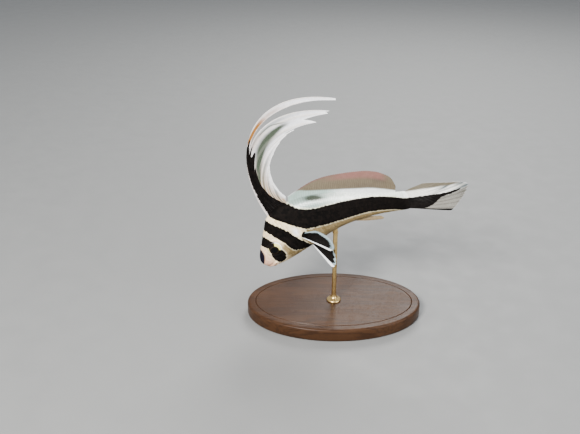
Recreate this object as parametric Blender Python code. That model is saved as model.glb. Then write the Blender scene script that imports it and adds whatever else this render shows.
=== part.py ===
"""A jack-knife drum fish, life size, hovering head down on a plain display stand.

Metres, +Z up. The fish faces -X with its left side to -Y. The origin is the middle of the
underside of the stand's base. Lengths of the fish are shares of its standard length, the
distance from the snout to the root of the tail fin, measured along a curved body line.
"""

import math

import bmesh
import bpy
import numpy as np
from mathutils import Matrix, Vector

STANDARD_LENGTH = 0.095
GAP = 0.0003
FIN_THICKNESS = 0.00055
RAY_THICKNESS = 0.00095
TIP_THICKNESS = 0.00042

# The body line: how it points at the head, along the rear body and at the tip of the tail fin.
HEAD_YAW = math.radians(9)
REAR_YAW = math.radians(-18)
TAIL_TIP_YAW = math.radians(20)
HEAD_PITCH = math.radians(42)
REAR_PITCH = math.radians(17)
STIFF_HEAD = 0.18
YAW_SETTLES = 0.82
PITCH_SETTLES = 0.66
TAIL_FIN_ROOT = 1.0
TAIL_FIN_TIP = 1.38
ANCHOR_STATION = 0.56
ANCHOR_HEIGHT = 0.066

# Half sections of the body: height of the back, depth of the belly and half width.
BACK = [
    (0.0, 0.0), (0.006, 0.026), (0.02, 0.046), (0.05, 0.074), (0.10, 0.112), (0.16, 0.160),
    (0.22, 0.205), (0.27, 0.218), (0.34, 0.207), (0.42, 0.184), (0.52, 0.155), (0.64, 0.124),
    (0.76, 0.099), (0.88, 0.079), (1.0, 0.069),
]
BELLY = [
    (0.0, 0.0), (0.006, 0.026), (0.02, 0.046), (0.05, 0.068), (0.10, 0.088), (0.18, 0.108),
    (0.28, 0.120), (0.38, 0.121), (0.50, 0.104), (0.60, 0.083), (0.70, 0.063), (0.84, 0.048),
    (1.0, 0.046),
]
WIDTH = [
    (0.0, 0.0), (0.006, 0.020), (0.02, 0.036), (0.05, 0.052), (0.10, 0.066), (0.16, 0.076),
    (0.24, 0.084), (0.33, 0.086), (0.45, 0.078), (0.58, 0.062), (0.72, 0.043), (0.86, 0.027),
    (0.95, 0.017), (1.0, 0.0095),
]


def smooth(t):
    """0 before 0, 1 after 1, and an even turn between them."""
    t = np.clip(t, 0.0, 1.0)
    return t * t * (3.0 - 2.0 * t)


def through(points, x):
    """A smooth curve through (place, value) points, read at x."""
    xs, ys = (np.array(c, float) for c in zip(*points))
    slopes = np.gradient(ys, xs)
    x = np.clip(np.asarray(x, float), xs[0], xs[-1])
    i = np.clip(np.searchsorted(xs, x, side="right") - 1, 0, len(xs) - 2)
    step = xs[i + 1] - xs[i]
    t = (x - xs[i]) / step
    rise = ys[i + 1] - ys[i]
    m0, m1 = slopes[i] * step, slopes[i + 1] * step
    return ys[i] + t * (m0 + t * (3 * rise - 2 * m0 - m1 + t * (m0 + m1 - 2 * rise)))


def profile(points, s):
    """A body profile at station s: rounded at the snout, because it grows with the root of s."""
    return through([(math.sqrt(a), b) for a, b in points], np.sqrt(np.clip(s, 0.0, 1.0)))


class BodyLine:
    """The curved middle line of the fish, with its back and left side at every station."""

    def __init__(self):
        s = np.arange(-0.02, 1.45, 0.0025)
        yaw = HEAD_YAW + (REAR_YAW - HEAD_YAW) * smooth((s - STIFF_HEAD) / (YAW_SETTLES - STIFF_HEAD))
        yaw += (TAIL_TIP_YAW - REAR_YAW) * smooth((s - 0.97) / (TAIL_FIN_TIP - 0.97))
        settled = smooth((s - STIFF_HEAD) / (PITCH_SETTLES - STIFF_HEAD))
        pitch = HEAD_PITCH + (REAR_PITCH - HEAD_PITCH) * settled
        flat = 0 * s
        self.s = s
        self.aft = np.stack([np.cos(yaw) * np.cos(pitch), np.sin(yaw) * np.cos(pitch), np.sin(pitch)], 1)
        self.up = np.stack([-np.cos(yaw) * np.sin(pitch), -np.sin(yaw) * np.sin(pitch), np.cos(pitch)], 1)
        self.left = np.stack([np.sin(yaw), -np.cos(yaw), flat], 1)
        steps = (self.aft[1:] + self.aft[:-1]) / 2 * np.diff(s)[:, None] * STANDARD_LENGTH
        line = np.concatenate([np.zeros((1, 3)), np.cumsum(steps, 0)])
        anchor = self.read(line, ANCHOR_STATION)
        self.line = line - anchor + np.array([0.0, 0.0, ANCHOR_HEIGHT])

    def read(self, rows, s):
        return np.stack([np.interp(s, self.s, rows[:, i]) for i in range(3)], -1)

    def place(self, s, up, left):
        """World point at station s, so far up and left of the line, both in standard lengths."""
        up = np.asarray(up, float)[..., None] * STANDARD_LENGTH
        left = np.asarray(left, float)[..., None] * STANDARD_LENGTH
        return self.read(self.line, s) + self.read(self.up, s) * up + self.read(self.left, s) * left

    def frame(self, s):
        """Aft, up and left directions at station s."""
        return self.read(self.aft, s), self.read(self.up, s), self.read(self.left, s)


LINE = BodyLine()

# The head ends at the gill covers, whose rear edges bow aft on each flank.
GILL_TOP = 0.225
GILL_REACH = 0.085
GILL_TILT = math.radians(-8)
GILL_SEAM = 0.0042
GILL_COVER_RISE = 0.0045
TAIL_STARTS = 0.66
BODY_SEAM = 0.0034
FLANK_POWER = 1.12
HEAD_RINGS, HEAD_SIDES = 30, 48
TORSO_RINGS, TORSO_SIDES = 13, 36
TAIL_RINGS, TAIL_SIDES = 8, 28

EYE_STATION, EYE_UP = 0.140, 0.049
EYE_RADIUS, EYE_DEPTH = 0.047, 0.018
EYE_BULGE = 0.009
ORBIT_RISE, ORBIT_WIDTH = 0.004, 0.008

MOUTH_FRONT, MOUTH_CORNER = 0.017, 0.074
MOUTH_SPREAD = math.radians(58)
LIP_RISE, LIP_WIDTH = 0.005, 0.011
GROOVE_WIDTH, GROOVE_DEPTH = 0.0006, 0.0008


def side_angle(a):
    """Height angle on either flank: 90 degrees at the back, 0 at mid flank and -90 at the belly."""
    return np.arcsin(np.sin(a))


def gill_edge(a):
    return GILL_TOP + GILL_REACH * np.cos(side_angle(a) + GILL_TILT) ** 2


def section(s, a, rise=0.0):
    """(up, left) of the skin at station s and angle a round the body line, in standard lengths."""
    sine, cosine = np.sin(a), np.cos(a)
    depth = np.where(sine > 0, profile(BACK, s), profile(BELLY, s))
    side = profile(WIDTH, s) * np.sign(cosine) * np.abs(cosine) ** FLANK_POWER
    return (depth + rise) * sine, side + rise * cosine


def skin(s, a, rise=0.0):
    up, left = section(s, a, rise)
    return LINE.place(s, up, left)


def skin_side(s, up):
    """Half width of the body at station s and height up."""
    sine = up / np.where(up > 0, profile(BACK, s), profile(BELLY, s))
    return profile(WIDTH, s) * (1 - sine**2) ** (FLANK_POWER / 2)


def outward(s, a):
    """Unit normal of the skin."""
    step = 0.002
    along = skin(s + step, a) - skin(np.maximum(s - step, 0.0005), a)
    round_ = skin(s, a + step) - skin(s, a - step)
    normal = np.cross(along, round_)
    return normal / np.linalg.norm(normal, axis=-1, keepdims=True)


def mouth_path(t):
    """(station, angle) along the mouth, t from -1 at the right corner to 1 at the left one."""
    s = MOUTH_FRONT + (MOUTH_CORNER - MOUTH_FRONT) * np.abs(t) ** 1.7
    return s, math.radians(-90) + MOUTH_SPREAD * t


def cheek_path(t, flank):
    """(station, angle) along the cheek plate's rear edge, t from 0 at the top to 1 below."""
    angle = math.radians(28) - math.radians(84) * t
    s = 0.226 + 0.020 * np.sin(math.pi * t) - 0.030 * t**2
    return s, angle if flank > 0 else math.pi - angle


def head_rise(s, a):
    """How far lips, eye rims and gill covers stand out of the plain head, in standard lengths."""
    up, left = section(s, a)
    lips = np.zeros_like(up)
    for t in np.linspace(-1, 1, 41):
        ps, pa = mouth_path(t)
        pu, pl = section(ps, pa)
        off = (s - ps) ** 2 + (up - pu) ** 2 + (left - pl) ** 2
        lips = np.maximum(lips, LIP_RISE * np.exp(-off / LIP_WIDTH**2))
    reach = np.hypot(s - EYE_STATION, up - EYE_UP)
    orbit = ORBIT_RISE * np.exp(-(((reach - EYE_RADIUS - 0.002) / ORBIT_WIDTH) ** 2))
    near_edge = smooth((s / gill_edge(a) - 0.72) / 0.24)
    cover = GILL_COVER_RISE * near_edge * np.cos(side_angle(a)) ** 2
    return lips + orbit + cover


def new_object(name, mesh, material):
    """An object whose origin is at the middle of its mesh."""
    middle = sum((v.co for v in mesh.vertices), Vector()) / len(mesh.vertices)
    mesh.transform(Matrix.Translation(-middle))
    obj = bpy.data.objects.new(name, mesh)
    obj.location = middle
    bpy.context.scene.collection.objects.link(obj)
    if material:
        mesh.materials.append(material)
    return obj


def mesh_of(name, points, faces, smooth_angle=50):
    mesh = bpy.data.meshes.new(name)
    mesh.from_pydata([tuple(p) for p in points], [], faces)
    work = bmesh.new()
    work.from_mesh(mesh)
    bmesh.ops.recalc_face_normals(work, faces=work.faces)
    work.to_mesh(mesh)
    work.free()
    mesh.shade_smooth()
    mesh.set_sharp_from_angle(angle=math.radians(smooth_angle))
    return mesh


def loft(name, rings, start, end, material=None):
    """A closed body through rings of points, with a fan to a centre point at each end."""
    rings = np.asarray(rings)
    count, sides = rings.shape[:2]
    points = np.concatenate([rings.reshape(-1, 3), [start], [end]])
    first, last = count * sides, count * sides + 1
    faces = []
    for i in range(sides):
        j = (i + 1) % sides
        faces.append((first, i, j))
        for r in range(count - 1):
            faces.append((r * sides + i, (r + 1) * sides + i, (r + 1) * sides + j, r * sides + j))
        faces.append((last, (count - 1) * sides + j, (count - 1) * sides + i))
    return new_object(name, mesh_of(name, points, faces), material)


def slab(name, middle, thickness, material=None):
    """A thin closed plate about a grid of points, split into triangles alike on both faces."""
    rows, columns = middle.shape[:2]
    normal = np.cross(np.gradient(middle, axis=0), np.gradient(middle, axis=1))
    normal /= np.linalg.norm(normal, axis=-1, keepdims=True)
    half = normal * (thickness[..., None] / 2)
    points = np.concatenate([(middle + half).reshape(-1, 3), (middle - half).reshape(-1, 3)])
    under = rows * columns
    faces = []
    for r in range(rows - 1):
        for c in range(columns - 1):
            p = r * columns + c
            for tri in ((p, p + columns, p + columns + 1), (p, p + columns + 1, p + 1)):
                faces.append(tri)
                faces.append(tuple(under + k for k in reversed(tri)))
    down = [r * columns for r in range(rows)]
    rim = list(range(columns - 1)) + [k + columns - 1 for k in down[:-1]]
    rim += list(range(under - 1, under - columns, -1)) + down[:0:-1]
    for a, b in zip(rim, rim[1:] + rim[:1]):
        faces.append((a, b, under + b))
        faces.append((a, under + b, under + a))
    return new_object(name, mesh_of(name, points, faces, 60), material)


def helper(obj):
    """Marks an object as a cutter, which is no part of the model."""
    obj.hide_render = True
    obj.display_type = "WIRE"
    return obj


def cut(obj, cutter, label):
    modifier = obj.modifiers.new(label, "BOOLEAN")
    modifier.operation = "DIFFERENCE"
    modifier.solver = "EXACT"
    if isinstance(cutter, bpy.types.Collection):
        modifier.operand_type = "COLLECTION"
        modifier.collection = cutter
    else:
        modifier.object = cutter


def finish(name, colour, roughness, metallic=0.0):
    material = bpy.data.materials.new(name)
    material.use_nodes = True
    shader = material.node_tree.nodes["Principled BSDF"]
    shader.inputs["Base Color"].default_value = (*colour, 1.0)
    shader.inputs["Roughness"].default_value = roughness
    shader.inputs["Metallic"].default_value = metallic
    return material


def circle(sides):
    return np.linspace(0, 2 * math.pi, sides, endpoint=False)


def spheroid(name, centre, axes, radii, segments, material=None):
    """A ball stretched along three directions; the poles lie on the third."""
    rings = segments // 2 + 1
    around = circle(segments)
    loops = []
    for k in range(1, rings):
        polar = math.pi * k / rings
        flat = math.sin(polar) * radii[0] * np.cos(around)[:, None] * axes[0]
        flat = flat + math.sin(polar) * radii[1] * np.sin(around)[:, None] * axes[1]
        loops.append(centre + flat - math.cos(polar) * radii[2] * axes[2])
    ends = [centre - radii[2] * axes[2], centre + radii[2] * axes[2]]
    return loft(name, loops, *ends, material)


def groove(name, path, ts):
    """A thin wedge that follows a line on the skin and scores it."""
    s, a = path(ts)
    points, normals = skin(s, a, head_rise(s, a)), outward(s, a)
    ahead = np.gradient(points, axis=0)
    ahead /= np.linalg.norm(ahead, axis=1, keepdims=True)
    across = np.cross(normals, ahead)
    tapered = np.minimum(1.0, 0.35 + 4 * np.minimum(ts - ts[0], ts[-1] - ts) / (ts[-1] - ts[0]))[:, None]
    lip = points + normals * GROOVE_WIDTH
    wide = across * GROOVE_WIDTH * 0.8
    root = points - normals * GROOVE_DEPTH * tapered
    rings = np.stack([lip + wide, lip - wide, root], 1)
    return helper(loft(name, rings, rings[0].mean(0), rings[-1].mean(0)))


def eye_place(flank):
    """Centre and axes of the left eye (flank 1) or the right one (flank -1)."""
    aft, up, left = LINE.frame(EYE_STATION)
    side = skin_side(EYE_STATION, EYE_UP) + EYE_BULGE - EYE_DEPTH
    centre = LINE.place(EYE_STATION, EYE_UP, side * flank)
    out = left * flank + up * 0.10 - aft * 0.16
    out /= np.linalg.norm(out)
    top = up - out * np.dot(up, out)
    top /= np.linalg.norm(top)
    return centre, (np.cross(top, out), top, out)


def eye(name, flank, spare, material=None):
    centre, axes = eye_place(flank)
    radii = [EYE_RADIUS * STANDARD_LENGTH + spare] * 2 + [EYE_DEPTH * STANDARD_LENGTH + spare]
    return spheroid(name, centre, axes, radii, 22, material)


def nostril(name, flank, s, up, radius):
    angle = math.asin(up / float(profile(BACK, s)))
    angle = angle if flank > 0 else math.pi - angle
    centre = skin(s, angle, head_rise(np.array(s), np.array(angle)))
    return helper(spheroid(name, centre, LINE.frame(s), [radius] * 3, 8))


def make_head(material):
    around = circle(HEAD_SIDES)
    rings = []
    for v in np.linspace(0.055, 1, HEAD_RINGS):
        s = gill_edge(around) * v**1.45
        rings.append(skin(s, around, head_rise(s, around)))
    head = loft("head", rings, LINE.place(0.0, 0, 0), LINE.place(0.262, 0.03, 0), material)
    cutters = bpy.data.collections.new("head_cutters")
    bpy.context.scene.collection.children.link(cutters)
    tools = [groove("mouth_line", mouth_path, np.linspace(-1, 1, 17))]
    for flank, side in ((1, "left"), (-1, "right")):
        tools.append(groove(f"cheek_line_{side}", lambda t, f=flank: cheek_path(t, f), np.linspace(0, 1, 11)))
        tools.append(helper(eye(f"eye_socket_{side}", flank, GAP)))
        tools.append(nostril(f"front_nostril_{side}", flank, 0.062, 0.058, 0.00045))
        tools.append(nostril(f"rear_nostril_{side}", flank, 0.078, 0.066, 0.00065))
    for tool in tools:
        bpy.context.scene.collection.objects.unlink(tool)
        cutters.objects.link(tool)
    cut(head, cutters, "features")
    return head


def make_torso(material):
    around = circle(TORSO_SIDES)
    rings = []
    for v in np.linspace(0, 1, TORSO_RINGS):
        s = gill_edge(around) + GILL_SEAM
        rings.append(skin(s + (TAIL_STARTS - s) * v, around))
    front, rear = LINE.place(0.262 + GILL_SEAM, 0.03, 0), LINE.place(TAIL_STARTS, 0.02, 0)
    return loft("torso", rings, front, rear, material)


def make_tail(material):
    around = circle(TAIL_SIDES)
    stations = np.linspace(TAIL_STARTS + BODY_SEAM, TAIL_FIN_ROOT, TAIL_RINGS)
    rings = [skin(s, around) for s in stations]
    front, rear = LINE.place(stations[0], 0.02, 0), LINE.place(TAIL_FIN_ROOT, 0.0, 0)
    return loft("tail_stem", rings, front, rear, material)


def make_clearance():
    """The body grown by the gap, which trims what stands on it."""
    around = circle(TORSO_SIDES)
    stations = [0.01, 0.03, 0.07, *np.arange(0.12, 0.99, 0.03)]
    rings = [skin(s, around, GAP / STANDARD_LENGTH) for s in stations]
    ends = [LINE.place(stations[0], 0, 0), LINE.place(stations[-1], 0, 0)]
    return helper(loft("clearance", rings, *ends))


def ribs(columns, raised, plain, tip_share, rows):
    """Thickness over a fin's grid: every second column is a ray, and it thins towards the edge."""
    ray = np.where(np.arange(columns) % 2 == 1, raised, plain)
    out = np.linspace(0, 1, rows)[:, None]
    return np.maximum(ray[None] * (1 - (1 - tip_share) * out**1.5), TIP_THICKNESS)


# The first dorsal fin: for each column its foot along the base, its tip aft of and above the
# fin's front foot in metres, the way it points there in degrees above level, how much of the way
# to that tip it reaches, less than all of it in the notches, the way it rises from its foot in
# degrees, and how far it holds its first and its last way, as shares of the chord.
SAIL_FRONT, SAIL_REAR = 0.235, 0.355
SAIL_COLUMNS = [
    (0.00, 0.0382, 0.0678, -11, 1.0, 121, 0.583, 0.624), (0.085, 0.0381, 0.0669, -10, 1.0, 121, 0.630, 0.590),
    (0.17, 0.0208, 0.0675, 12, 1.0, 120, 0.725, 0.345), (0.21, 0.0347, 0.0611, -8, 1.0, 123, 0.729, 0.534),
    (0.28, 0.0339, 0.0596, -4, 1.0, 126, 0.665, 0.560), (0.35, 0.0310, 0.0575, -1, 0.89, 130, 0.600, 0.565),
    (0.42, 0.0277, 0.0549, 2, 1.0, 134, 0.545, 0.560), (0.49, 0.0215, 0.0532, 11, 0.82, 138, 0.490, 0.520),
    (0.55, 0.0155, 0.0512, 22, 1.0, 141, 0.458, 0.479), (0.61, 0.0115, 0.0488, 35, 1.0, 143, 0.437, 0.450),
    (0.67, 0.0083, 0.0455, 47, 1.0, 145, 0.414, 0.417), (0.73, 0.0058, 0.0417, 57, 1.0, 148, 0.393, 0.386),
    (0.79, 0.0033, 0.0366, 67, 1.0, 150, 0.371, 0.356), (0.84, 0.0016, 0.0315, 78, 1.0, 151, 0.361, 0.341),
    (0.89, 0.0020, 0.0262, 92, 1.0, 153, 0.360, 0.340), (0.93, 0.0036, 0.0208, 105, 1.0, 155, 0.360, 0.340),
    (0.97, 0.0069, 0.0153, 118, 1.0, 156, 0.360, 0.340), (1.00, 0.0104, 0.0117, 125, 1.0, 157, 0.360, 0.340),
]
SAIL_SWAY = 0.0015
SAIL_LOWER_REACH = 0.0445
FILAMENT_COLUMNS = (0, 3)
BLADE_COLUMNS = (3, 13)
SAIL_LOWER_ROWS, FILAMENT_ROWS, BLADE_ROWS = 10, 14, 10


def sail_ray(column):
    """A function of the share along one ray, and the ray's length."""
    base, x, z, fall, share, rise, held_first, held_last = SAIL_COLUMNS[column]
    s = np.array(SAIL_FRONT + (SAIL_REAR - SAIL_FRONT) * base)
    aft, _, left = LINE.frame((SAIL_FRONT + SAIL_REAR) / 2)
    level = np.array([aft[0], aft[1], 0]) / math.hypot(aft[0], aft[1])
    front, foot = (LINE.place(q, profile(BACK, q) + GAP / STANDARD_LENGTH, 0 * q) for q in (SAIL_FRONT, s))
    away = foot - front
    start = np.array([away @ level, away[2]])
    tip = np.array([x, z])
    chord = float(np.linalg.norm(tip - start))
    rise, fall = math.radians(rise), math.radians(fall)
    p1 = start + np.array([math.cos(rise), math.sin(rise)]) * chord * held_first
    p2 = tip - np.array([math.cos(fall), math.sin(fall)]) * chord * held_last
    lean = away - start[0] * level - [0, 0, start[1]]

    def at(t):
        t = np.asarray(t, float)[..., None]
        flat = start * (1 - t) ** 3 + 3 * p1 * t * (1 - t) ** 2 + 3 * p2 * t**2 * (1 - t) + tip * t**3
        aside = lean * (1 - t) - left * SAIL_SWAY * (t * chord / 0.076) ** 2
        return front + flat[..., :1] * level + flat[..., 1:] * np.array([0, 0, 1.0]) + aside

    fine = at(np.linspace(0, 1, 200))
    travelled = np.concatenate([[0], np.cumsum(np.linalg.norm(np.diff(fine, axis=0), axis=1))])
    return (lambda d: at(np.interp(d, travelled, np.linspace(0, 1, 200)))), travelled[-1] * share


def sail_piece(name, columns, upper, rows, material):
    """Some rays from their feet up to the seam, or from the seam to their tips."""
    middle, thickness = [], []
    for c in range(*columns):
        ray, length = sail_ray(c)
        seam = SAIL_LOWER_REACH * (1 - 0.5 * SAIL_COLUMNS[c][0])
        start, end = (seam + 1.5 * GAP, length) if upper else (0, min(seam, length))
        reach = start + (end - start) * np.linspace(0, 1, rows)
        middle.append(ray(reach))
        full = RAY_THICKNESS if c % 2 == 0 else FIN_THICKNESS
        thickness.append(np.maximum(full * (1 - 0.4 * (reach / length) ** 1.5), TIP_THICKNESS))
    return slab(name, np.array(middle).swapaxes(0, 1), np.array(thickness).T, material)


def make_sail(material):
    """The tall first dorsal fin: its lower part, its front filament and the blade behind that."""
    whole = (0, len(SAIL_COLUMNS))
    return [
        sail_piece("first_dorsal_fin", whole, False, SAIL_LOWER_ROWS, material),
        sail_piece("first_dorsal_filament", FILAMENT_COLUMNS, True, FILAMENT_ROWS, material),
        sail_piece("first_dorsal_blade", BLADE_COLUMNS, True, BLADE_ROWS, material),
    ]


# The second dorsal fin: heights along its long base.
VEIL_FRONT, VEIL_REAR = 0.362, 0.945
VEIL_RAYS = 46
VEIL_ROWS = 6
VEIL_HEIGHT = [
    (0.0, 0.030), (0.08, 0.050), (0.18, 0.077), (0.38, 0.108), (0.55, 0.126), (0.72, 0.129),
    (0.84, 0.115), (0.95, 0.078), (1.0, 0.035),
]
VEIL_LEAN = 0.055


def make_veil(material):
    columns = 2 * VEIL_RAYS + 1
    along = np.linspace(0, 1, columns)
    s = VEIL_FRONT + (VEIL_REAR - VEIL_FRONT) * along
    height = through(VEIL_HEIGHT, along)
    middle = []
    for v in np.linspace(0, 1, VEIL_ROWS):
        up = profile(BACK, s) + GAP / STANDARD_LENGTH + height * v
        middle.append(LINE.place(s + VEIL_LEAN * v * height / 0.13, up, 0 * s))
    thickness = ribs(columns, RAY_THICKNESS, FIN_THICKNESS, 0.6, VEIL_ROWS)
    return slab("second_dorsal_fin", np.array(middle), thickness, material)


# The anal fin: short, and swept back under the rear body.
KEEL_FRONT, KEEL_REAR = 0.640, 0.730
KEEL_RAYS, KEEL_ROWS = 8, 8
KEEL_LENGTH = [(0.0, 0.10), (0.12, 0.165), (0.3, 0.175), (0.6, 0.145), (1.0, 0.095)]
KEEL_SWEEP = math.radians(5)


def make_keel(material):
    columns = 2 * KEEL_RAYS + 1
    along = np.linspace(0, 1, columns)
    s = KEEL_FRONT + (KEEL_REAR - KEEL_FRONT) * along
    length = through(KEEL_LENGTH, along)
    lean = KEEL_SWEEP * (1 - 0.35 * along)
    middle = []
    for v in np.linspace(0, 1, KEEL_ROWS):
        down = profile(BELLY, s) + GAP / STANDARD_LENGTH + length * v * np.sin(lean)
        middle.append(LINE.place(s + length * v * np.cos(lean), -down, 0 * s))
    thickness = ribs(columns, RAY_THICKNESS, FIN_THICKNESS, 0.6, KEEL_ROWS)
    return slab("anal_fin", np.array(middle), thickness, material)


# The tail fin: a long lozenge whose middle rays reach furthest.
TAIL_FIN_RAYS, TAIL_FIN_ROWS = 17, 11
TAIL_FIN_ROOT_TOP, TAIL_FIN_ROOT_BOTTOM = 0.062, 0.042
TAIL_FIN_UPPER_EDGE, TAIL_FIN_LOWER_EDGE = 0.32, 0.64
TAIL_FIN_SPREAD = [(0.0, 0.0), (0.12, 0.016), (0.28, 0.038), (0.58, 0.066), (0.89, 0.092), (1.0, 0.098)]
TAIL_FIN_LOWER_SPREAD = 1.22
TAIL_FIN_CURL = 0.9


def make_tail_fin(material):
    columns = 2 * TAIL_FIN_RAYS + 1
    side = np.linspace(1, -1, columns)
    across = np.abs(side)
    edge = np.where(side > 0, TAIL_FIN_UPPER_EDGE, TAIL_FIN_LOWER_EDGE)
    curl = TAIL_FIN_CURL + np.where(side > 0, -0.30, 0.45) * across
    reach = (TAIL_FIN_TIP - TAIL_FIN_ROOT) * (1 - (1 - edge) * across**1.3)
    spread = through(TAIL_FIN_SPREAD, across) * np.where(side > 0, 1.0, -TAIL_FIN_LOWER_SPREAD)
    root = side * np.where(side > 0, TAIL_FIN_ROOT_TOP, TAIL_FIN_ROOT_BOTTOM)
    start = TAIL_FIN_ROOT + GAP / STANDARD_LENGTH
    middle = []
    for v in np.linspace(0, 1, TAIL_FIN_ROWS):
        middle.append(LINE.place(start + reach * v, root + (spread - root) * v**curl, 0 * side))
    thickness = ribs(columns, RAY_THICKNESS * 1.15, FIN_THICKNESS, 0.45, TAIL_FIN_ROWS)
    return slab("tail_fin", np.array(middle), thickness, material)


def make_paired_fin(name, flank, roots, ways, lengths, rays, rows, material):
    """A fan from a short root on the flank: each end has a place, a way it points and a length."""
    columns = 2 * rays + 1
    along = np.linspace(0, 1, columns)[:, None]
    (s0, up0), (s1, up1) = roots
    s = s0 + (s1 - s0) * along[:, 0]
    up = up0 + (up1 - up0) * along[:, 0]
    root = LINE.place(s, up, flank * (skin_side(s, up) - 0.005))
    aft, top, left = LINE.frame((s0 + s1) / 2)
    axes = np.stack([aft, left * flank, top])
    first, last = (np.array(w) @ axes / np.linalg.norm(w) for w in ways)
    way = first + (last - first) * along
    way /= np.linalg.norm(way, axis=1, keepdims=True)
    length = through(lengths, along[:, 0])[:, None] * STANDARD_LENGTH
    middle = []
    for v in np.linspace(0, 1, rows):
        droop = -0.10 * v**2 * length * top
        middle.append(root + way * length * v + droop)
    thickness = ribs(columns, RAY_THICKNESS * 1.1, FIN_THICKNESS, 0.5, rows)
    return slab(name, np.array(middle), thickness, material)


PECTORAL_ROOTS = ((0.307, -0.005), (0.325, 0.012))
PECTORAL_WAYS = ((0.48, 0.50, -0.57), (0.80, 0.45, -0.05))
PECTORAL_LENGTHS = [(0.0, 0.185), (0.15, 0.206), (0.4, 0.200), (0.7, 0.158), (1.0, 0.095)]
PELVIC_ROOTS = ((0.318, -0.112), (0.345, -0.113))
PELVIC_WAYS = ((0.12, 0.48, -1.0), (0.75, 0.22, -0.75))
PELVIC_LENGTHS = [(0.0, 0.175), (0.15, 0.180), (0.4, 0.160), (0.7, 0.125), (1.0, 0.085)]

BASE_LENGTH, BASE_WIDTH, BASE_HEIGHT = 0.104, 0.066, 0.008
BASE_ROUNDING = 0.0014
ROD_RADIUS, FOOT_RADIUS, FOOT_HEIGHT = 0.00135, 0.0042, 0.0018


def make_base(material):
    sides = 56
    around = circle(sides)
    ring = np.stack([BASE_LENGTH / 2 * np.cos(around), BASE_WIDTH / 2 * np.sin(around), 0 * around], 1)
    rings = [ring, ring + [0, 0, BASE_HEIGHT]]
    base = loft("stand_base", rings, np.zeros(3), np.array([0, 0, BASE_HEIGHT]), material)
    bevel = base.modifiers.new("rounded edges", "BEVEL")
    bevel.width = BASE_ROUNDING
    bevel.segments = 3
    bevel.limit_method = "ANGLE"
    bevel.angle_limit = math.radians(60)
    return base


def make_rod(material, clearance):
    """A turned rod on a small foot, whose top follows the belly."""
    around = circle(16)
    turn = np.stack([np.cos(around), np.sin(around), 0 * around], 1)
    floor = BASE_HEIGHT + GAP
    outline = [(FOOT_RADIUS, 0), (FOOT_RADIUS, FOOT_HEIGHT * 0.6), (FOOT_RADIUS * 0.7, FOOT_HEIGHT)]
    outline += [(ROD_RADIUS * 1.25, FOOT_HEIGHT * 1.5), (ROD_RADIUS, FOOT_HEIGHT * 2.2)]
    rings = [turn * r + [0, 0, floor + z] for r, z in outline]
    rings.append(turn * ROD_RADIUS + [0, 0, ANCHOR_HEIGHT])
    rod = loft("stand_rod", rings, np.array([0, 0, floor]), np.array([0, 0, ANCHOR_HEIGHT]), material)
    cut(rod, clearance, "meets the belly")
    return rod


def gather(name, members):
    """Parents objects to an empty at the origin."""
    empty = bpy.data.objects.new(name, None)
    bpy.context.scene.collection.objects.link(empty)
    for obj in members:
        obj.parent = empty


def main():
    for obj in list(bpy.data.objects):
        bpy.data.objects.remove(obj)
    silver = finish("silver skin", (0.72, 0.70, 0.66), 0.35)
    dark = finish("black and white fins", (0.10, 0.09, 0.09), 0.45)
    pale = finish("pale fins", (0.66, 0.64, 0.60), 0.4)
    glossy = finish("eye", (0.03, 0.03, 0.035), 0.08)
    wood = finish("dark wood", (0.09, 0.05, 0.03), 0.4)
    brass = finish("brass", (0.60, 0.44, 0.20), 0.3, 1.0)
    clearance = make_clearance()
    fish = [make_head(silver), make_torso(silver), make_tail(silver)]
    fish += [eye("eye_left", 1, 0.0, glossy), eye("eye_right", -1, 0.0, glossy)]
    fish += [*make_sail(dark), make_veil(pale), make_keel(pale), make_tail_fin(dark)]
    for flank, side in ((1, "left"), (-1, "right")):
        pectoral = make_paired_fin(
            f"pectoral_fin_{side}", flank, PECTORAL_ROOTS, PECTORAL_WAYS, PECTORAL_LENGTHS, 9, 9, dark)
        pelvic = make_paired_fin(
            f"pelvic_fin_{side}", flank, PELVIC_ROOTS, PELVIC_WAYS, PELVIC_LENGTHS, 6, 10, dark)
        cut(pectoral, clearance, "meets the flank")
        cut(pelvic, clearance, "meets the belly")
        fish += [pectoral, pelvic]
    gather("fish", fish)
    gather("stand", [make_base(wood), make_rod(brass, clearance)])


main()
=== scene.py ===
"""Looks of the mounted jack-knife drum fish: skin, scales, fins, eyes, stand, light and camera.

Metres, +Z up. The fish faces -X with its left side to -Y. Places on the fish are given by
station, from 0 at the snout to 1 at the root of the tail fin, and by angle round the body line,
0 at the left flank and 90 degrees at the back, or by height and side. All are shares of the
standard length. These values and formulas are the same as the solids'.
"""

import math

import bpy
import numpy as np
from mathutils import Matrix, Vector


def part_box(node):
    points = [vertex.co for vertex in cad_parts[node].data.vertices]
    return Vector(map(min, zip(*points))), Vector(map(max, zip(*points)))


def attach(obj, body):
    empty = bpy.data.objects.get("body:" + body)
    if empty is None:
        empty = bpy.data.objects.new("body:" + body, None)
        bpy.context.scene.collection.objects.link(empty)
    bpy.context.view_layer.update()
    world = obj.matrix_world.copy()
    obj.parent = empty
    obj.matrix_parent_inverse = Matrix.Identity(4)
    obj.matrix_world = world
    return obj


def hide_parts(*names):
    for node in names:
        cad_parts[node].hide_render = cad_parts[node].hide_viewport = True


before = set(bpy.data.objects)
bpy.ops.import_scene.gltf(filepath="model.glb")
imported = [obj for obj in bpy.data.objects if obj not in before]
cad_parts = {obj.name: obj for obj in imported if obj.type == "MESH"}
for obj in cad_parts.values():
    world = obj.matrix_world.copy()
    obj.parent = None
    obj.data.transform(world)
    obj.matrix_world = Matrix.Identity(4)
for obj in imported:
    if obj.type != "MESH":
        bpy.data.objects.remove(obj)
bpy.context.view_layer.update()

STANDARD_LENGTH = 0.095
GAP = 0.0003
MM = 0.001 / STANDARD_LENGTH
SEED = 7

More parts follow.
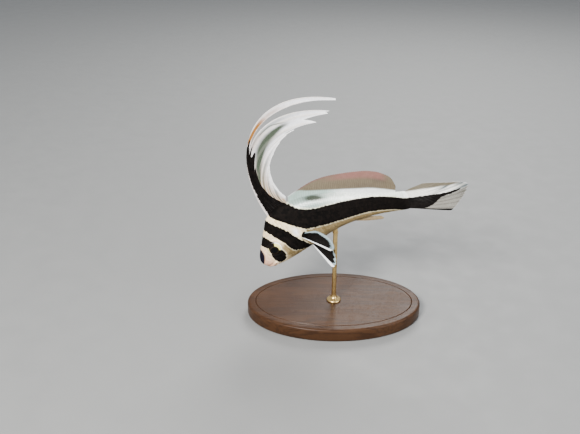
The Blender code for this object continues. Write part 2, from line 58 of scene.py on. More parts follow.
HEAD_YAW, REAR_YAW, TAIL_TIP_YAW = math.radians(9), math.radians(-18), math.radians(20)
HEAD_PITCH, REAR_PITCH = math.radians(42), math.radians(17)
STIFF_HEAD, YAW_SETTLES, PITCH_SETTLES = 0.18, 0.82, 0.66
TAIL_FIN_ROOT, TAIL_FIN_TIP = 1.0, 1.38
ANCHOR_STATION, ANCHOR_HEIGHT = 0.56, 0.066

BACK = [
    (0.0, 0.0), (0.006, 0.026), (0.02, 0.046), (0.05, 0.074), (0.10, 0.112), (0.16, 0.160),
    (0.22, 0.205), (0.27, 0.218), (0.34, 0.207), (0.42, 0.184), (0.52, 0.155), (0.64, 0.124),
    (0.76, 0.099), (0.88, 0.079), (1.0, 0.069),
]
BELLY = [
    (0.0, 0.0), (0.006, 0.026), (0.02, 0.046), (0.05, 0.068), (0.10, 0.088), (0.18, 0.108),
    (0.28, 0.120), (0.38, 0.121), (0.50, 0.104), (0.60, 0.083), (0.70, 0.063), (0.84, 0.048),
    (1.0, 0.046),
]
WIDTH = [
    (0.0, 0.0), (0.006, 0.020), (0.02, 0.036), (0.05, 0.052), (0.10, 0.066), (0.16, 0.076),
    (0.24, 0.084), (0.33, 0.086), (0.45, 0.078), (0.58, 0.062), (0.72, 0.043), (0.86, 0.027),
    (0.95, 0.017), (1.0, 0.0095),
]
FLANK_POWER = 1.12

GILL_TOP, GILL_REACH, GILL_TILT = 0.225, 0.085, math.radians(-8)
GILL_COVER_RISE = 0.0045
EYE_STATION, EYE_UP = 0.140, 0.049
EYE_RADIUS, EYE_DEPTH, EYE_BULGE = 0.047, 0.018, 0.009
ORBIT_RISE, ORBIT_WIDTH = 0.004, 0.008
MOUTH_FRONT, MOUTH_CORNER, MOUTH_SPREAD = 0.017, 0.074, math.radians(58)

# The coat is the layer of scales. The skin lies this far inside the solids.
COAT_DEPTH = 0.0009


# Shapes of the body


def smooth(t):
    """0 before 0, 1 after 1, and an even turn between them."""
    t = np.clip(t, 0.0, 1.0)
    return t * t * (3.0 - 2.0 * t)


def through(points, x):
    """A smooth curve through (place, value) points, read at x."""
    xs, ys = (np.array(c, float) for c in zip(*points))
    slopes = np.gradient(ys, xs)
    x = np.clip(np.asarray(x, float), xs[0], xs[-1])
    i = np.clip(np.searchsorted(xs, x, side="right") - 1, 0, len(xs) - 2)
    step = xs[i + 1] - xs[i]
    t = (x - xs[i]) / step
    rise = ys[i + 1] - ys[i]
    m0, m1 = slopes[i] * step, slopes[i + 1] * step
    return ys[i] + t * (m0 + t * (3 * rise - 2 * m0 - m1 + t * (m0 + m1 - 2 * rise)))


def straight(points, x):
    """Straight lines through (place, value) points, read at x."""
    xs, ys = zip(*points)
    return np.interp(x, xs, ys)


def profile(points, s):
    """A body profile at station s: rounded at the snout, because it grows with the root of s."""
    return through([(math.sqrt(a), b) for a, b in points], np.sqrt(np.clip(s, 0.0, 1.0)))


class BodyLine:
    """The curved middle line of the fish, with its back and left side at every station."""

    def __init__(self):
        s = np.arange(-0.02, 1.45, 0.0025)
        yaw = HEAD_YAW + (REAR_YAW - HEAD_YAW) * smooth((s - STIFF_HEAD) / (YAW_SETTLES - STIFF_HEAD))
        yaw += (TAIL_TIP_YAW - REAR_YAW) * smooth((s - 0.97) / (TAIL_FIN_TIP - 0.97))
        settle = smooth((s - STIFF_HEAD) / (PITCH_SETTLES - STIFF_HEAD))
        pitch = HEAD_PITCH + (REAR_PITCH - HEAD_PITCH) * settle
        flat = 0 * s
        self.s = s
        self.aft = np.stack([np.cos(yaw) * np.cos(pitch), np.sin(yaw) * np.cos(pitch), np.sin(pitch)], 1)
        self.up = np.stack([-np.cos(yaw) * np.sin(pitch), -np.sin(yaw) * np.sin(pitch), np.cos(pitch)], 1)
        self.left = np.stack([np.sin(yaw), -np.cos(yaw), flat], 1)
        steps = (self.aft[1:] + self.aft[:-1]) / 2 * np.diff(s)[:, None] * STANDARD_LENGTH
        line = np.concatenate([np.zeros((1, 3)), np.cumsum(steps, 0)])
        anchor = self.read(line, ANCHOR_STATION)
        self.line = line - anchor + np.array([0.0, 0.0, ANCHOR_HEIGHT])

    def read(self, rows, s):
        return np.stack([np.interp(s, self.s, rows[:, i]) for i in range(3)], -1)

    def place(self, s, up, left):
        """World point at station s, so far up and left of the line, both in standard lengths."""
        up = np.asarray(up, float)[..., None] * STANDARD_LENGTH
        left = np.asarray(left, float)[..., None] * STANDARD_LENGTH
        return self.read(self.line, s) + self.read(self.up, s) * up + self.read(self.left, s) * left

    def frame(self, s):
        """Aft, up and left directions at station s."""
        return self.read(self.aft, s), self.read(self.up, s), self.read(self.left, s)


LINE = BodyLine()


def side_angle(a):
    """Height angle on either flank: 90 degrees at the back, 0 at mid flank and -90 at the belly."""
    return np.arcsin(np.sin(a))


def gill_edge(a):
    return GILL_TOP + GILL_REACH * np.cos(side_angle(a) + GILL_TILT) ** 2


def section(s, a, rise=0.0):
    """(up, left) of the skin at station s and angle a round the body line, in standard lengths."""
    sine, cosine = np.sin(a), np.cos(a)
    depth = np.where(sine > 0, profile(BACK, s), profile(BELLY, s))
    side = profile(WIDTH, s) * np.sign(cosine) * np.abs(cosine) ** FLANK_POWER
    return (depth + rise) * sine, side + rise * cosine


def skin_at(s, a, rise=0.0):
    up, left = section(s, a, rise)
    return LINE.place(s, up, left)


def skin_side(s, up):
    """Half width of the body at station s and height up."""
    sine = up / np.where(up > 0, profile(BACK, s), profile(BELLY, s))
    return profile(WIDTH, s) * (1 - sine**2) ** (FLANK_POWER / 2)


def outward(s, a):
    """Unit normal of the plain body."""
    step = 0.002
    along = skin_at(s + step, a) - skin_at(np.maximum(s - step, 0.0005), a)
    around = skin_at(s, a + step) - skin_at(s, a - step)
    normal = np.cross(along, around)
    return normal / np.linalg.norm(normal, axis=-1, keepdims=True)


# The skin's own forms


def fades(away, width):
    """1 at no distance, and fading over the width."""
    return np.exp(-((away / width) ** 2))


def mouth_path(t):
    """(station, angle) along the mouth, t from -1 at the right corner to 1 at the left one."""
    s = MOUTH_FRONT + (MOUTH_CORNER - MOUTH_FRONT) * np.abs(t) ** 1.7
    return s, math.radians(-90) + MOUTH_SPREAD * t


def from_mouth(s, up, left):
    """Distance from the line of the mouth, and how far behind it, both in standard lengths."""
    near = np.full(s.shape, 9.0)
    behind = np.zeros(s.shape)
    for t in np.linspace(-1, 1, 81):
        mouth_s, mouth_a = mouth_path(t)
        mouth_up, mouth_left = section(mouth_s, mouth_a)
        away = (s - mouth_s) ** 2 + (up - mouth_up) ** 2 + (left - mouth_left) ** 2
        closer = away < near
        near = np.where(closer, away, near)
        behind = np.where(closer, (s - mouth_s) - 0.8 * (up - mouth_up), behind)
    return np.sqrt(near), behind


NOSTRILS = [(0.062, 0.058, 0.0040), (0.078, 0.066, 0.0060)]
SNOUT_PORES = [(0.012, 0), (0.021, 38), (0.026, 74), (0.034, 16)]
CHIN_PORES = [(0.036, -90), (0.046, -72), (0.062, -64), (0.083, -58)]
LATERAL_LINE = [(0.275, 0.120), (0.40, 0.098), (0.52, 0.068), (0.64, 0.044), (0.78, 0.026), (1.05, 0.010)]
CHEEK_TOP, CHEEK_SPAN = 28, 84
PECTORAL_STATION, PECTORAL_UP = 0.318, 0.008


def relief(s, a):
    """How far the skin stands off the plain body: lips, rims, covers, nostrils and pores."""
    up, left = section(s, a)
    side = np.abs(left)
    rise = np.full(s.shape, -COAT_DEPTH)

    # Lips, the line between them and the groove round them
    near, behind = from_mouth(s, up, left)
    lip = np.where(behind > 0, 0.0046, 0.0062)
    rise += lip * fades(near - 0.0100, 0.0058)
    rise -= 0.0100 * fades(near, 0.0036)
    rise -= 0.0018 * fades(near - 0.0215, 0.0045)

    # The rim round each eye and the socket inside it
    reach = np.hypot(s - EYE_STATION, up - EYE_UP)
    rise += ORBIT_RISE * fades(reach - EYE_RADIUS - 0.002, ORBIT_WIDTH)
    rise -= 0.0016 * fades(reach - EYE_RADIUS - 0.018, 0.005)
    rise -= 0.0190 * smooth((0.0415 - reach) / 0.0045)

    # Nostrils with raised rims, and pores
    for nose_s, nose_up, radius in NOSTRILS:
        nose_left = skin_side(np.array(nose_s), np.array(nose_up))
        away = np.sqrt((s - nose_s) ** 2 + (up - nose_up) ** 2 + (side - nose_left) ** 2)
        rise += 0.0020 * fades(away - radius * 1.25, 0.0022)
        rise -= 0.0085 * smooth((radius * 1.05 - away) / (radius * 0.5))
    for pores in (SNOUT_PORES, CHIN_PORES):
        for pore_s, degrees in pores:
            pore_up, pore_left = section(np.array(pore_s), math.radians(degrees))
            away = np.sqrt((s - pore_s) ** 2 + (up - pore_up) ** 2 + (side - np.abs(pore_left)) ** 2)
            rise -= 0.0034 * fades(away, 0.0030)

    # The cheek plate, from its top to its lower corner, with a groove behind its edge
    cheek = (CHEEK_TOP - np.degrees(side_angle(a))) / CHEEK_SPAN
    on_cheek = smooth(cheek / 0.12) * smooth((1 - cheek) / 0.12)
    off = s - (0.226 + 0.020 * np.sin(math.pi * np.clip(cheek, 0, 1)) - 0.030 * np.clip(cheek, 0, 1) ** 2)
    rise += on_cheek * 0.0024 * smooth((off + 0.045) / 0.04) * smooth(-off / 0.004)
    rise -= on_cheek * 0.0026 * fades(off - 0.0035, 0.0036)
    rise -= on_cheek * 0.0010 * fades(off + 0.026, 0.0035)
    rise += 0.0035 * fades(np.hypot(s - 0.185, (up + 0.020) * 1.2), 0.045)

    # The gill cover, the slit behind it and its soft hem
    edge = gill_edge(a)
    flank = np.cos(side_angle(a)) ** 2
    rise += np.where(s <= edge + 1e-6, GILL_COVER_RISE * smooth((s / edge - 0.72) / 0.24) * flank, 0)
    slit = smooth((np.cos(side_angle(a)) - 0.18) / 0.35)
    rise -= np.where(s > edge + 1e-6, 0.0062 * fades(s - edge - 0.003, 0.0062) * slit, 0)
    rise += 0.0012 * slit * fades(s - edge + 0.006, 0.004) * (s <= edge)

    # Folds of the throat
    throat = smooth((-up / np.maximum(profile(BELLY, s), 1e-6) - 0.55) / 0.3)
    throat = throat * smooth((s - 0.09) / 0.04) * smooth((0.28 - s) / 0.05)
    folds = np.abs(side - (0.010 + 0.16 * np.clip(s - 0.09, 0, 1)))
    rise -= throat * (0.0030 * fades(folds, 0.0030) + 0.0012 * fades(side, 0.003))

    # The root of the pectoral fin, and the lateral line
    rise += 0.0030 * fades(np.hypot(s - PECTORAL_STATION, up - PECTORAL_UP), 0.020)
    line_up = through(LATERAL_LINE, s)
    on_line = smooth((s - edge - 0.004) / 0.01) * smooth((1.0 - s) / 0.02)
    rise += 0.0011 * on_line * fades(up - line_up, 0.0040)
    return rise


# Markings


def closed_curve(corners):
    """A smooth closed outline through corners, as many short sides."""
    p = np.array(corners, float)
    before, after, beyond = np.roll(p, 1, 0), np.roll(p, -1, 0), np.roll(p, -2, 0)
    pieces = []
    for t in np.linspace(0, 1, 6, endpoint=False):
        pieces.append(0.5 * (2 * p + (after - before) * t + (2 * before - 5 * p + 4 * after - beyond) * t**2
                             + (3 * p - before - 3 * after + beyond) * t**3))
    return np.stack(pieces, 1).reshape(-1, 2)


def depth_inside(s, up, corners):
    """How deep a place lies inside an outline, in millimetres, and less than 0 outside it."""
    outline = closed_curve(corners)
    near = np.full(s.shape, 9.0)
    inside = np.zeros(s.shape, bool)
    for (s0, up0), (s1, up1) in zip(outline, np.roll(outline, -1, 0)):
        ds, du = s1 - s0, up1 - up0
        t = np.clip(((s - s0) * ds + (up - up0) * du) / (ds * ds + du * du), 0, 1)
        near = np.minimum(near, (s - s0 - t * ds) ** 2 + (up - up0 - t * du) ** 2)
        if du:
            crosses = ((up0 > up) != (up1 > up)) & (s < s0 + (up - up0) / du * ds)
            inside ^= crosses
    return np.sqrt(near) / MM * np.where(inside, 1, -1)


# The black marks, as (station, height) on either flank: bands through the eye, over the gill
# cover, and from the first dorsal fin along the body into the tail fin, and a spot at the root
# of the pectoral fin.
EYE_BAND = [
    (0.112, 0.198), (0.124, 0.142), (0.141, 0.125), (0.151, 0.106), (0.157, 0.089), (0.162, 0.062),
    (0.164, 0.028), (0.169, 0.002), (0.163, -0.022), (0.145, -0.047), (0.122, -0.061),
    (0.103, -0.062), (0.091, -0.050), (0.085, -0.022), (0.085, 0.002), (0.092, 0.025),
    (0.103, 0.046), (0.105, 0.068), (0.093, 0.085), (0.077, 0.100), (0.060, 0.145),
]
GILL_BAND = [
    (0.192, 0.255), (0.214, 0.200), (0.245, 0.142), (0.268, 0.094), (0.283, 0.038), (0.297, -0.008),
    (0.312, -0.054), (0.320, -0.104), (0.326, -0.150), (0.300, -0.150), (0.291, -0.115),
    (0.270, -0.092), (0.244, -0.064), (0.223, -0.048), (0.217, -0.030), (0.210, 0.004),
    (0.207, 0.033), (0.200, 0.064), (0.190, 0.098), (0.182, 0.125), (0.171, 0.148), (0.157, 0.168),
    (0.130, 0.220),
]
LONG_BAND = [
    (0.236, 0.262), (0.238, 0.232), (0.247, 0.201), (0.262, 0.174), (0.277, 0.153), (0.297, 0.117),
    (0.319, 0.083), (0.338, 0.057), (0.360, 0.030), (0.396, 0.010), (0.458, -0.011), (0.525, -0.023),
    (0.603, -0.026), (0.688, -0.020), (0.765, -0.014), (0.838, -0.018), (0.908, -0.028),
    (0.960, -0.042), (0.985, -0.049), (1.037, -0.056), (1.075, -0.061), (1.100, -0.057),
    (1.128, -0.053), (1.152, -0.044), (1.175, -0.031), (1.198, -0.0165), (1.222, -0.0140),
    (1.250, -0.0140), (1.292, -0.0140), (1.322, -0.0090), (1.320, -0.0030), (1.290, 0.0000),
    (1.250, 0.0020), (1.221, 0.007), (1.180, 0.013), (1.147, 0.0175), (1.093, 0.023), (1.036, 0.025),
    (1.000, 0.030), (0.968, 0.038), (0.925, 0.052), (0.854, 0.066), (0.782, 0.075), (0.709, 0.079),
    (0.635, 0.083), (0.5625, 0.087), (0.494, 0.097), (0.460, 0.106), (0.429, 0.121), (0.402, 0.140),
    (0.379, 0.165), (0.360, 0.193), (0.348, 0.212), (0.340, 0.262),
]
AXIL_SPOT = [
    (0.312, -0.006), (0.318, 0.008), (0.331, 0.019), (0.350, 0.019), (0.356, 0.000), (0.350, -0.020),
    (0.328, -0.023),
]


def band_depth(s, up):
    """How deep a place lies inside the black bands, in millimetres."""
    outlines = (EYE_BAND, GILL_BAND, LONG_BAND, AXIL_SPOT)
    return np.max([depth_inside(s, up, outline) for outline in outlines], axis=0)


def paint(piece, shares):
    """Stores named values at each point of the mesh, for its finish to read."""
    for name, values in shares.items():
        attribute = piece.data.attributes.new(name, "FLOAT", "POINT")
        attribute.data.foreach_set("value", np.asarray(values, np.float32).ravel())


TAN_TOP = [(0.0, 0.062), (0.20, 0.062), (0.25, 0.018), (0.31, 0.014), (0.37, 0.062), (1.0, 0.062)]
SILVER_FROM = [(0.30, 0.13), (0.40, 0.105), (0.52, 0.06), (0.7, 0.045), (1.0, 0.03)]
# A dark olive patch on the back, under the root of the second dorsal fin.
DARK_PATCH_STATION, DARK_PATCH_HEIGHT = 0.482, 0.152


def body_colours(s, up, left):
    """Shares of each tint of the skin at station s, height up and side left."""
    dash = 1.2 - np.hypot((up - 0.035) / 0.047, left / 0.044) - smooth((s - 0.085) / 0.02) * 3
    cheek = 0.22 + 0.78 * smooth((s - 0.130) / 0.055)
    behind = s - DARK_PATCH_STATION
    dark_olive_patch = fades(np.hypot(behind / 3.6, up - DARK_PATCH_HEIGHT + 0.42 * behind), 0.0120)
    return {
        "dash": np.where(s < 0.11, dash, -1.0),
        "blush": smooth((0.115 - s) / 0.09) * 0.9,
        "tan": smooth((straight(TAN_TOP, s) - up) / 0.045) * cheek,
        "silver": smooth((s - 0.29) / 0.08) * smooth((up - through(SILVER_FROM, s)) / 0.03 + 0.9),
        # A pale patch at the rear edge of the gill cover, with a painted pearly sheen on its own pale colour.
        "pale_patch_and_sheen": fades(np.hypot(s - 0.305, (up - 0.048) * 0.7), 0.020),
        "dark_olive_patch": np.minimum(1.7 * dark_olive_patch, 1),
        "station": s,
    }


# Making of pieces


def nothing_selected():
    if bpy.context.object and bpy.context.object.mode != "OBJECT":
        bpy.ops.object.mode_set(mode="OBJECT")
    bpy.ops.object.select_all(action="DESELECT")


def named(name):
    piece = bpy.context.active_object
    piece.name = name
    piece.data.name = name
    return piece


def points_of(piece):
    """The mesh's points as rows of x, y, z."""
    flat = np.zeros(len(piece.data.vertices) * 3, np.float32)
    piece.data.vertices.foreach_get("co", flat)
    return flat.reshape(-1, 3).astype(float)


def put_points(piece, points):
    piece.data.vertices.foreach_set("co", np.asarray(points, np.float32).ravel())
    piece.data.update()


def active(piece):
    nothing_selected()
    piece.select_set(True)
    bpy.context.view_layer.objects.active = piece


def modify(piece, kind, label, **values):
    """Adds a modifier, sets it and applies it."""
    modifier = piece.modifiers.new(label, kind)
    for key, value in values.items():
        setattr(modifier, key, value)
    active(piece)
    bpy.ops.object.modifier_apply(modifier=label)


def select_faces(piece, chosen):
    """Selects the faces that chosen picks, and stays in edit mode."""
    active(piece)
    bpy.ops.object.mode_set(mode="EDIT")
    bpy.ops.mesh.select_mode(type="FACE")
    bpy.ops.mesh.select_all(action="DESELECT")
    bpy.ops.object.mode_set(mode="OBJECT")
    for face in piece.data.polygons:
        face.select = chosen(face)
    bpy.ops.object.mode_set(mode="EDIT")


def tidy_mesh(piece, merge, degrees):
    """Closes seams, turns all faces outward and shades the mesh smooth between its edges."""
    active(piece)
    bpy.ops.object.mode_set(mode="EDIT")
    bpy.ops.mesh.select_all(action="SELECT")
    if merge:
        bpy.ops.mesh.remove_doubles(threshold=merge)
    bpy.ops.mesh.normals_make_consistent(inside=False)
    bpy.ops.object.mode_set(mode="OBJECT")
    bpy.ops.object.shade_smooth_by_angle(angle=math.radians(degrees))


def dress(piece, finish, slot, *replaced):
    """Gives a piece its finish and hides the solids that it stands for. Its slot is not used."""
    piece.data.materials.clear()
    piece.data.materials.append(finish)
    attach(piece, "root")
    if replaced:
        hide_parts(*replaced)
    return piece


# Finishes: short names for the nodes that they are made of


FINE_GRAIN, BAND_EDGE_GRAIN = 2600.0, 1100.0


def feed(tree, made, inputs):
    """Sets a node's inputs, as values or as sockets to link."""
    for key, value in inputs.items():
        if isinstance(value, bpy.types.NodeSocket):
            tree.links.new(value, made.inputs[key])
        else:
            made.inputs[key].default_value = value
    return made


def node(tree, kind, inputs=None, **settings):
    """Adds a node, with its settings by name and its inputs."""
    made = tree.nodes.new(kind)
    for key, value in settings.items():
        setattr(made, key, value)
    return feed(tree, made, inputs or {})


def maths(tree, operation, a, b=0.0):
    return node(tree, "ShaderNodeMath", {0: a, 1: b}, operation=operation).outputs[0]


def times(tree, a, b):
    return maths(tree, "MULTIPLY", a, b)


def rest(tree, share):
    """What a share leaves of 1."""
    return maths(tree, "SUBTRACT", 1.0, share)


def waves(tree, value, scale):
    """Even waves along a value, from -1 to 1."""
    return maths(tree, "SINE", times(tree, value, scale))


def sum_of(tree, *parts):
    """The sum of (value, share) parts, each value times its share."""
    total = times(tree, *parts[0])
    for value, share in parts[1:]:
        total = maths(tree, "ADD", total, times(tree, value, share))
    return total


def between(tree, value, low, high, start=0.0, end=1.0):
    """Turns smoothly from start to end as the value goes from low to high."""
    inputs = {"Value": value, "From Min": low, "From Max": high, "To Min": start, "To Max": end}
    return node(tree, "ShaderNodeMapRange", inputs, interpolation_type="SMOOTHSTEP").outputs[0]


def blend(tree, share, first, second, how="MIX"):
    """Mixes two colours by a share."""
    first, second = ((*c, 1.0) if isinstance(c, tuple) else c for c in (first, second))
    inputs = {0: share, 6: first, 7: second}
    return node(tree, "ShaderNodeMix", inputs, data_type="RGBA", blend_type=how).outputs[2]


def painted(tree, name):
    """A value stored on the mesh."""
    return node(tree, "ShaderNodeAttribute", attribute_name=name).outputs["Fac"]


def object_place(tree):
    return node(tree, "ShaderNodeTexCoord").outputs["Object"]


def speckle(tree, place, scale, detail=3.0):
    inputs = {"Vector": place, "Scale": scale, "Detail": detail, "Roughness": 0.55}
    return node(tree, "ShaderNodeTexNoise", inputs).outputs["Fac"]


def bump(tree, height, distance, strength):
    inputs = {"Height": height, "Distance": distance, "Strength": strength}
    return node(tree, "ShaderNodeBump", inputs).outputs["Normal"]


def new_group(name, inputs, outputs):
    """A shader node group with named inputs, each with its value, and named outputs."""
    tree = bpy.data.node_groups.new(name, "ShaderNodeTree")
    for label, value in inputs.items():
        socket = tree.interface.new_socket(label, in_out="INPUT", socket_type="NodeSocketFloat")
        socket.default_value = value
    for label in outputs:
        kind = "NodeSocketColor" if label == "Color" else "NodeSocketFloat"
        tree.interface.new_socket(label, in_out="OUTPUT", socket_type=kind)
    given = tree.nodes.new("NodeGroupInput").outputs
    return tree, given, tree.nodes.new("NodeGroupOutput")


def placed(tree, group, inputs):
    """Puts a node group to use, and gives its outputs."""
    return node(tree, "ShaderNodeGroup", inputs, node_tree=group).outputs


def new_finish(name, **constants):
    """A material with its shader's constant values set on the shader itself."""
    finish = bpy.data.materials.new(name)
    finish.use_nodes = True
    tree = finish.node_tree
    shader = tree.nodes["Principled BSDF"]
    for key, value in constants.items():
        shader.inputs[key.replace("_", " ")].default_value = value
    return finish, tree, shader


def band_edge_group():
    """A black band's mask from its painted depth: a wandering edge with a pale line along it."""
    inputs = {"Depth": 0.0, "Wander": 0.3, "Softness": 0.12, "Scale": 900.0}
    tree, given, out = new_group("band edge", inputs, ["Dark", "Margin"])
    grain = speckle(tree, object_place(tree), given["Scale"], 2.0)
    sway = times(tree, maths(tree, "SUBTRACT", grain, 0.5), given["Wander"])
    depth = maths(tree, "ADD", given["Depth"], times(tree, sway, 4.0))
    dark = between(tree, depth, times(tree, given["Softness"], -1.0), given["Softness"])
    feed(tree, out, {"Dark": dark, "Margin": between(tree, depth, -0.75, -0.25)})
    return tree


def skin_tint_group():
    """The skin's colours from its painted tints. Skin and scales share it, so they match."""
    inputs = {"Mottle": 0.5, "Unshaded": 0.5, "Band": -5.0}
    tree, given, out = new_group("skin tints", inputs, ["Color", "Dark", "Silver"])
    mottle = given["Mottle"]
    cream = blend(tree, mottle, (0.74, 0.55, 0.30), (0.92, 0.77, 0.52))
    pink = blend(tree, mottle, (0.54, 0.29, 0.20), (0.76, 0.47, 0.35))
    tan = blend(tree, mottle, (0.150, 0.108, 0.046), (0.270, 0.200, 0.100))
    silver = blend(tree, mottle, (0.66, 0.74, 0.68), (0.93, 0.95, 0.92))
    front = between(tree, painted(tree, "station"), 0.47, 0.68, 0.90, 0.0)
    silver = blend(tree, front, silver, (0.20, 0.275, 0.25))
    # The patch behind the gill cover: pale blue-white, partly its own colour and partly painted pearly sheen.
    pale_patch_and_sheen = blend(tree, mottle, (0.50, 0.55, 0.66), (0.93, 0.93, 0.98))
    ink = blend(tree, mottle, (0.0012, 0.0010, 0.0009), (0.0050, 0.0036, 0.0030))
    colour = blend(tree, painted(tree, "tan"), cream, tan)
    colour = blend(tree, painted(tree, "blush"), colour, pink)
    colour = blend(tree, painted(tree, "silver"), colour, silver)
    colour = blend(tree, times(tree, painted(tree, "pale_patch_and_sheen"), 0.85), colour, pale_patch_and_sheen)
    # The dark olive patch under the root of the second dorsal fin.
    colour = blend(tree, times(tree, painted(tree, "dark_olive_patch"), 0.94), colour, (0.028, 0.034, 0.022))
    # Painted shade: the roots of the scales, where each lies under the one before, are darkened.
    painted_root_shade = between(tree, given["Unshaded"], 0.0, 1.0, 0.32, 0.0)
    colour = blend(tree, painted_root_shade, colour, (0.30, 0.27, 0.22), "MULTIPLY")
    edge = placed(tree, band_edge, {"Depth": given["Band"], "Wander": 0.22, "Softness": 0.10,
                                    "Scale": BAND_EDGE_GRAIN})
    colour = blend(tree, times(tree, edge["Margin"], 0.42), colour, (0.88, 0.82, 0.60))
    colour = blend(tree, edge["Dark"], colour, ink)
    dash = between(tree, painted(tree, "dash"), 0.14, 0.30)
    colour = blend(tree, dash, colour, (0.0046, 0.0036, 0.0088))
    feed(tree, out, {"Color": colour, "Dark": maths(tree, "MAXIMUM", edge["Dark"], dash),
                     "Silver": painted(tree, "silver")})
    return tree


def skin_gloss(tree, shader, skin, fine, wet, rough, metal):
    """The skin's colour and its wet satin gloss, duller where it is black."""
    dark = times(tree, skin["Dark"], 0.40)
    feed(tree, shader, {
        "Base Color": skin["Color"],
        "Coat Weight": times(tree, rest(tree, skin["Dark"]), wet),
        "Roughness": maths(tree, "ADD", between(tree, fine, 0.3, 0.7, *rough), dark),
        "Metallic": times(tree, skin["Silver"], metal),
    })


def skin_finish():
    """Bare skin with small grain and pores."""
    finish, tree, shader = new_finish("painted skin", Coat_Roughness=0.20, Specular_IOR_Level=0.06)
    place = object_place(tree)
    fine, coarse = speckle(tree, place, FINE_GRAIN, 4.0), speckle(tree, place, 420.0)
    mottle = between(tree, sum_of(tree, (fine, 0.4), (coarse, 0.6)), 0.32, 0.68)
    skin = placed(tree, skin_tints, {"Mottle": mottle, "Unshaded": 1.0, "Band": painted(tree, "band")})
    skin_gloss(tree, shader, skin, fine, 0.30, (0.34, 0.50), 0.08)
    cells = node(tree, "ShaderNodeTexVoronoi", {"Vector": place, "Scale": 1500.0}).outputs["Distance"]
    height = sum_of(tree, (cells, 0.5), (fine, 0.5))
    feed(tree, shader, {"Normal": bump(tree, height, 0.00006, 0.55)})
    return finish


def scale_finish():
    """Scales: the skin's colours, darkened at the root by painted shade under the scale before, with growth
    rings and a fine comb behind.
    """
    finish, tree, shader = new_finish("painted scales", Coat_Roughness=0.16, Specular_IOR_Level=0.06)
    place = object_place(tree)
    fine, coarse = speckle(tree, place, FINE_GRAIN), speckle(tree, place, 300.0, 2.0)
    growth = painted(tree, "growth")
    mixed = sum_of(tree, (painted(tree, "each"), 0.45), (coarse, 0.55))
    mottle = between(tree, sum_of(tree, (mixed, 0.8), (fine, 0.2)), 0.25, 0.75)
    # Painted shade at each scale's root, fading out towards its tip.
    skin = placed(tree, skin_tints, {"Mottle": mottle, "Unshaded": between(tree, growth, 0.15, 0.75),
                                     "Band": painted(tree, "band")})
    skin_gloss(tree, shader, skin, fine, 0.35, (0.32, 0.48), 0.10)
    comb = times(tree, waves(tree, painted(tree, "across"), 34.0), between(tree, growth, 0.60, 1.0))
    height = sum_of(tree, (waves(tree, growth, 46.0), 0.25), (comb, 0.4))
    feed(tree, shader, {"Normal": bump(tree, height, 0.00003, 0.6)})
    return finish


# Skin

SKIN_SIDES, SKIN_RINGS = 232, 330
HEAD_SHARE, CAP_SHARE = 0.50, 0.97


def make_skin(finish):
    """One closed skin: a ball whose poles are the snout and the end of the tail stem."""
    nothing_selected()
    bpy.ops.mesh.primitive_uv_sphere_add(segments=SKIN_SIDES, ring_count=SKIN_RINGS, radius=1.0)
    piece = named("fish_skin")
    ball = points_of(piece)
    v = np.arccos(np.clip(-ball[:, 2], -1, 1)) / math.pi
    a = np.arctan2(ball[:, 1], ball[:, 0])
    edge = gill_edge(a)
    head = edge * (np.minimum(v, HEAD_SHARE) / HEAD_SHARE) ** 1.40
    along = np.clip((v - HEAD_SHARE) / (CAP_SHARE - HEAD_SHARE), 0, 1)
    s = head + (TAIL_FIN_ROOT - edge) * along
    turn = np.clip((v - CAP_SHARE) / (1 - CAP_SHARE), 0, 1) * math.pi / 2
    up, left = section(s, a, relief(s, a))
    station = s + 0.014 * np.sin(turn)
    closing = np.cos(turn) ** 0.35
    put_points(piece, LINE.place(station, up * closing, left * np.cos(turn)))
    plain_up, plain_left = section(s, a)
    paint(piece, body_colours(s, plain_up, plain_left))
    paint(piece, {"band": band_depth(station, plain_up * closing)})
    tidy_mesh(piece, 1e-8, 75)
    return dress(piece, finish, "skin", "head", "torso", "tail_stem")


# Scales

SCALES_ROUND = 46
SCALES_FROM, SCALES_TO = 0.092, 0.992
SCALE_LENGTHS = [-0.35, 0.15, 0.62, 1.0]
SCALE_SIDES = [-1.0, -0.5, 0.0, 0.5, 1.0]
SCALE_STEP, SCALE_THICKNESS = 0.80, 0.0009


def round_table():
    """Angles at even steps of the way round the body, from the back down the left side and up."""
    stations = np.linspace(0.05, 1.0, 160)
    angles = math.radians(90) - np.linspace(0, 2 * math.pi, 721)
    rows, girths = [], []
    for s in stations:
        up, left = section(np.full(angles.shape, s), angles)
        way = np.concatenate([[0], np.cumsum(np.hypot(np.diff(up), np.diff(left)))])
        rows.append(np.interp(np.linspace(0, way[-1], 361), way, angles))
        girths.append(way[-1])
    return stations, np.array(rows), np.array(girths)


STATIONS, ROUND_ANGLES, GIRTHS = round_table()


def angle_round(s, share):
    """The angle at a share of the way round the body, 0 at the back."""
    share = np.mod(share, 1.0) * 360
    row = np.clip(np.interp(s, STATIONS, np.arange(len(STATIONS))), 0, len(STATIONS) - 1.001)
    i, j = row.astype(int), np.minimum(share.astype(int), 359)
    fi, fj = row - i, share - j
    low = ROUND_ANGLES[i, j] * (1 - fj) + ROUND_ANGLES[i, j + 1] * fj
    high = ROUND_ANGLES[i + 1, j] * (1 - fj) + ROUND_ANGLES[i + 1, j + 1] * fj
    return low * (1 - fi) + high * fi


